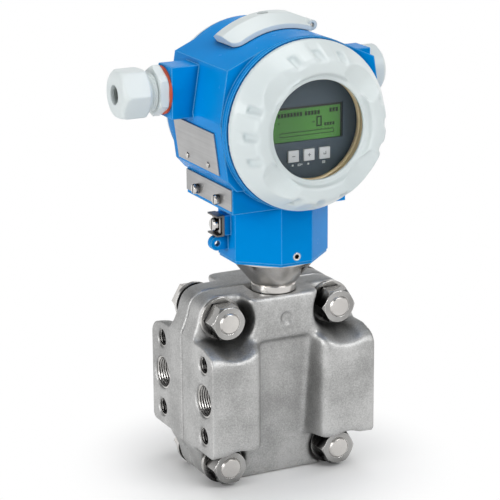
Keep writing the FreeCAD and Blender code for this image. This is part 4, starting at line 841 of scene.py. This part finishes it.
# %% Marks as thin tablets
TABLET_FACES = np.array([
    [0, 1, 2, 3], [4, 7, 6, 5], [0, 4, 5, 1], [1, 5, 6, 2], [2, 6, 7, 3], [3, 7, 4, 0],
])
TABLET_CORNERS, TABLET_HALF = 8, 0.06 * MM


def tablets(name, marks, centre, face, finish, body, slot):
    """Each mark is a box: four corners half a thickness before the face, and four as far behind it."""
    left, right, low, high = np.array(marks, float).T * MM
    across = centre[0] + np.stack([left, right, right, left], axis=1)
    tall = centre[1] + np.stack([low, low, high, high], axis=1)
    front = np.stack([across, np.full_like(across, face - TABLET_HALF), tall], axis=-1)
    back = np.stack([across, np.full_like(across, face + TABLET_HALF), tall], axis=-1)
    spots = np.concatenate([front, back], axis=1).reshape(-1, 3)
    firsts = TABLET_CORNERS * np.arange(len(marks))[:, None, None]
    return put(name, [(spots, (TABLET_FACES + firsts).reshape(-1, 4))], finish, body)


def front_of(node):
    """The middle of a solid's box, across and up, and the place of its front face."""
    low, high = corners(node)
    across, _, tall = (low + high) / 2
    return (across, tall), low[1]


def row_of_blocks(first, count, low, high, width=1.35, step=1.85):
    """So many equal marks side by side, the next one a step further right."""
    return [(first + step * k, first + step * k + width, low, high) for k in range(count)]


def outline(left, right, low, high, line):
    """Four marks round a rectangle: top, bottom, left and right."""
    return [
        (left, right, high - line, high), (left, right, low, low + line),
        (left, left + line, low, high), (right - line, right, low, high),
    ]


# %% Figures on the panel
title = row_of_blocks(-17.6, 8, 3.9, 6.2) + row_of_blocks(-1.6, 5, 3.9, 6.2)
page = row_of_blocks(13.0, 3, 4.4, 6.7)
value = [(2.6, 4.2, -0.2, 0.4)] + outline(5.2, 8.4, -2.6, 3.0, 0.75)
unit = row_of_blocks(10.0, 4, -2.6, -0.9, width=1.15, step=1.6)
dot = [(-17.4, -16.6, 0.6, 1.4)]
bar = outline(-16.6, 15.6, -6.6, -4.3, 0.35)
ticks = row_of_blocks(-15.0, 15, -4.3, -3.7, width=0.35, step=2.1)
figures = title + page + value + unit + dot + bar + ticks
panel_centre, panel_face = front_of("display_lcd")
tablets("panel_figures", figures, panel_centre, panel_face, figure_ink, "housing", "lcd")

# %% [markdown]
# The keys carry generic signs: minus, plus and enter. Small white signs lie on the bezel under them.
# They are tablets too, and those on a key ride on it, so that they move when it is pressed.

# %% Marks on the keys and under them
KEY_MARKS = {
    1: [(-0.9, 0.9, -0.2, 0.2)],
    2: [(-0.9, 0.9, -0.2, 0.2), (-0.2, 0.2, 0.2, 0.9), (-0.2, 0.2, -0.9, -0.2)],
    3: [(-0.8, 0.8, -0.8, -0.4), (0.4, 0.8, -0.4, 0.9), (-0.8, -0.4, -0.4, 0.2)],
}
for number, marks in KEY_MARKS.items():
    key = f"display_key_{number}"
    tablets(f"display_key_mark_{number}", marks, *front_of(key), mark_grey, key, "keys")
under_first = [(-0.5, 0.5, -5.6, -4.6)]
between = outline(3.0, 4.8, -5.7, -4.5, 0.35) + [(5.1, 5.8, -5.3, -4.6)]
under_second = [(8.8, 9.8, -5.6, -4.6)]
under_third = outline(17.6, 19.4, -5.8, -4.4, 0.4) + [(18.3, 18.9, -5.3, -4.9)]
signs = under_first + between + under_second + under_third
first_key_centre, _ = front_of("display_key_1")
_, bezel_face = front_of("display_bezel")
tablets("bezel_signs", signs, first_key_centre, bezel_face, mark_white, "housing", "keys")

# %% [markdown]
# ## Light
# A photographer would stand this object in a light tent, on white paper. The world is a pale tent that
# is brighter above and to the right, so that steel has something to reflect, and the camera sees plain
# white in its place. The paper keeps a soft shadow near the object. A picture of a studio could light
# it too, but a few sums are easier to change.

# %% Tent and floor
WHITE = (1.0, 1.0, 1.0, 1.0)
TENT_COLOUR = (0.97, 0.99, 1.0, 1.0)
BACKDROP_TOP, SHADOW_RANGE, FLOOR_REACH = (0.25, 0.4), (0.04, 0.115), 6.0


def seen(tree):
    """1 for rays that show the background: from the camera, off a gloss or through the glass."""
    path = "ShaderNodeLightPath"
    rays = tree.node(path, out="Is Camera Ray") + tree.node(path, out="Is Transmission Ray")
    return tree.math("MINIMUM", rays + tree.node(path, out="Is Glossy Ray"), 1.0)


def tent():
    """The world: strength grows with height and from left to right, behind a low white backdrop."""
    world = bpy.data.worlds.new("tent")
    bpy.context.scene.world = world
    world.use_nodes = True
    world.node_tree.nodes.clear()
    tree = Wire(world.node_tree)
    way = tree.node("ShaderNodeTexCoord", out="Generated")
    rise = tree.node("ShaderNodeSeparateXYZ", out="Z", Vector=way)
    side = tree.node("ShaderNodeSeparateXYZ", out="X", Vector=way)
    strength = (0.06 + 0.34 * rise.above(-0.1, 0.9)) * (0.35 + 0.65 * side.above(-0.9, 0.1))
    wall = tree.node("ShaderNodeBackground", Color=TENT_COLOUR, Strength=strength)
    white = tree.node("ShaderNodeBackground", Color=WHITE, Strength=1.0)
    backdrop = (1.0 - rise.above(*BACKDROP_TOP)) * seen(tree)
    tree.node("ShaderNodeMixShader", i0=backdrop, i1=wall, i2=white).end("ShaderNodeOutputWorld")


def floor():
    """A sheet that is pale paint near the object, where its shadow falls, and pure white further off."""
    material, tree = start("pale_floor")
    pale = noise(tree, scale=2.0).tint((0.93, 0.93, 0.93), (0.96, 0.96, 0.96))
    paint = tree.node("ShaderNodeBsdfPrincipled", Base_Color=pale, Roughness=0.9)
    white = tree.node("ShaderNodeEmission", Color=WHITE, Strength=1.0)
    away = tree.node("ShaderNodeVectorMath", {"operation": "LENGTH"}, out="Value", i0=own_place(tree))
    far = away.above(*SHADOW_RANGE) * seen(tree)
    tree.node("ShaderNodeMixShader", i0=far, i1=paint, i2=white).end("ShaderNodeOutputMaterial")
    ends = [(-1, -1), (1, -1), (1, 1), (-1, 1)]
    mesh = bpy.data.meshes.new("floor")
    mesh.from_pydata([(FLOOR_REACH * x, FLOOR_REACH * y, 0.0) for x, y in ends], [], [(0, 1, 2, 3)])
    mesh.materials.append(material)
    sheet = bpy.data.objects.new("floor", mesh)
    bpy.context.scene.collection.objects.link(sheet)


tent()
floor()
print("world:", bpy.context.scene.world.name, "floor reach:", FLOOR_REACH, "m")

# %% [markdown]
# Large soft boxes shape the housing, and narrow ones at the sides draw the bright lines along its
# edges. A weak one behind lifts the far side. It is kept out of reflections, because it would pale the
# blue paint.

# %% Lamps
MIDDLE = (0.0, -0.02, 0.14)


def lamp(name, place, size, watts, mirrored=True):
    """A soft box, turned to face the middle of the object, which may be kept out of reflections."""
    data = bpy.data.lights.new(name, "AREA")
    data.shape, data.size, data.size_y = "RECTANGLE", size[0], size[1]
    data.energy = watts
    box = bpy.data.objects.new(name, data)
    away = np.array(place) - np.array(MIDDLE)
    back = away / np.linalg.norm(away)
    side = np.cross((0.0, 0.0, 1.0), back)
    side /= np.linalg.norm(side)
    turn = np.eye(4)
    turn[:3] = np.column_stack([side, np.cross(back, side), back, place])
    box.matrix_world = Matrix(turn.tolist())
    box.visible_glossy = mirrored
    bpy.context.scene.collection.objects.link(box)


lamp("key", place=(0.55, -1.25, 1.15), size=(0.9, 0.9), watts=11.5)
lamp("fill", place=(-1.2, -0.9, 0.7), size=(0.8, 1.0), watts=5.0)
lamp("top", place=(0.0, 0.15, 1.4), size=(0.9, 0.7), watts=5.0)
lamp("left_strip", place=(-1.2, -0.2, 0.45), size=(0.2, 0.9), watts=5.0)
lamp("rear", place=(0.5, 1.3, 0.5), size=(0.9, 0.9), watts=2.5, mirrored=False)
lamp("right_strip", place=(1.1, 0.2, 0.5), size=(0.14, 0.9), watts=1.0)

# %% [markdown]
# ## Last look
# The picture is shown with the standard view transform.

# %% Set the view transform
bpy.context.scene.view_settings.view_transform = "Standard"
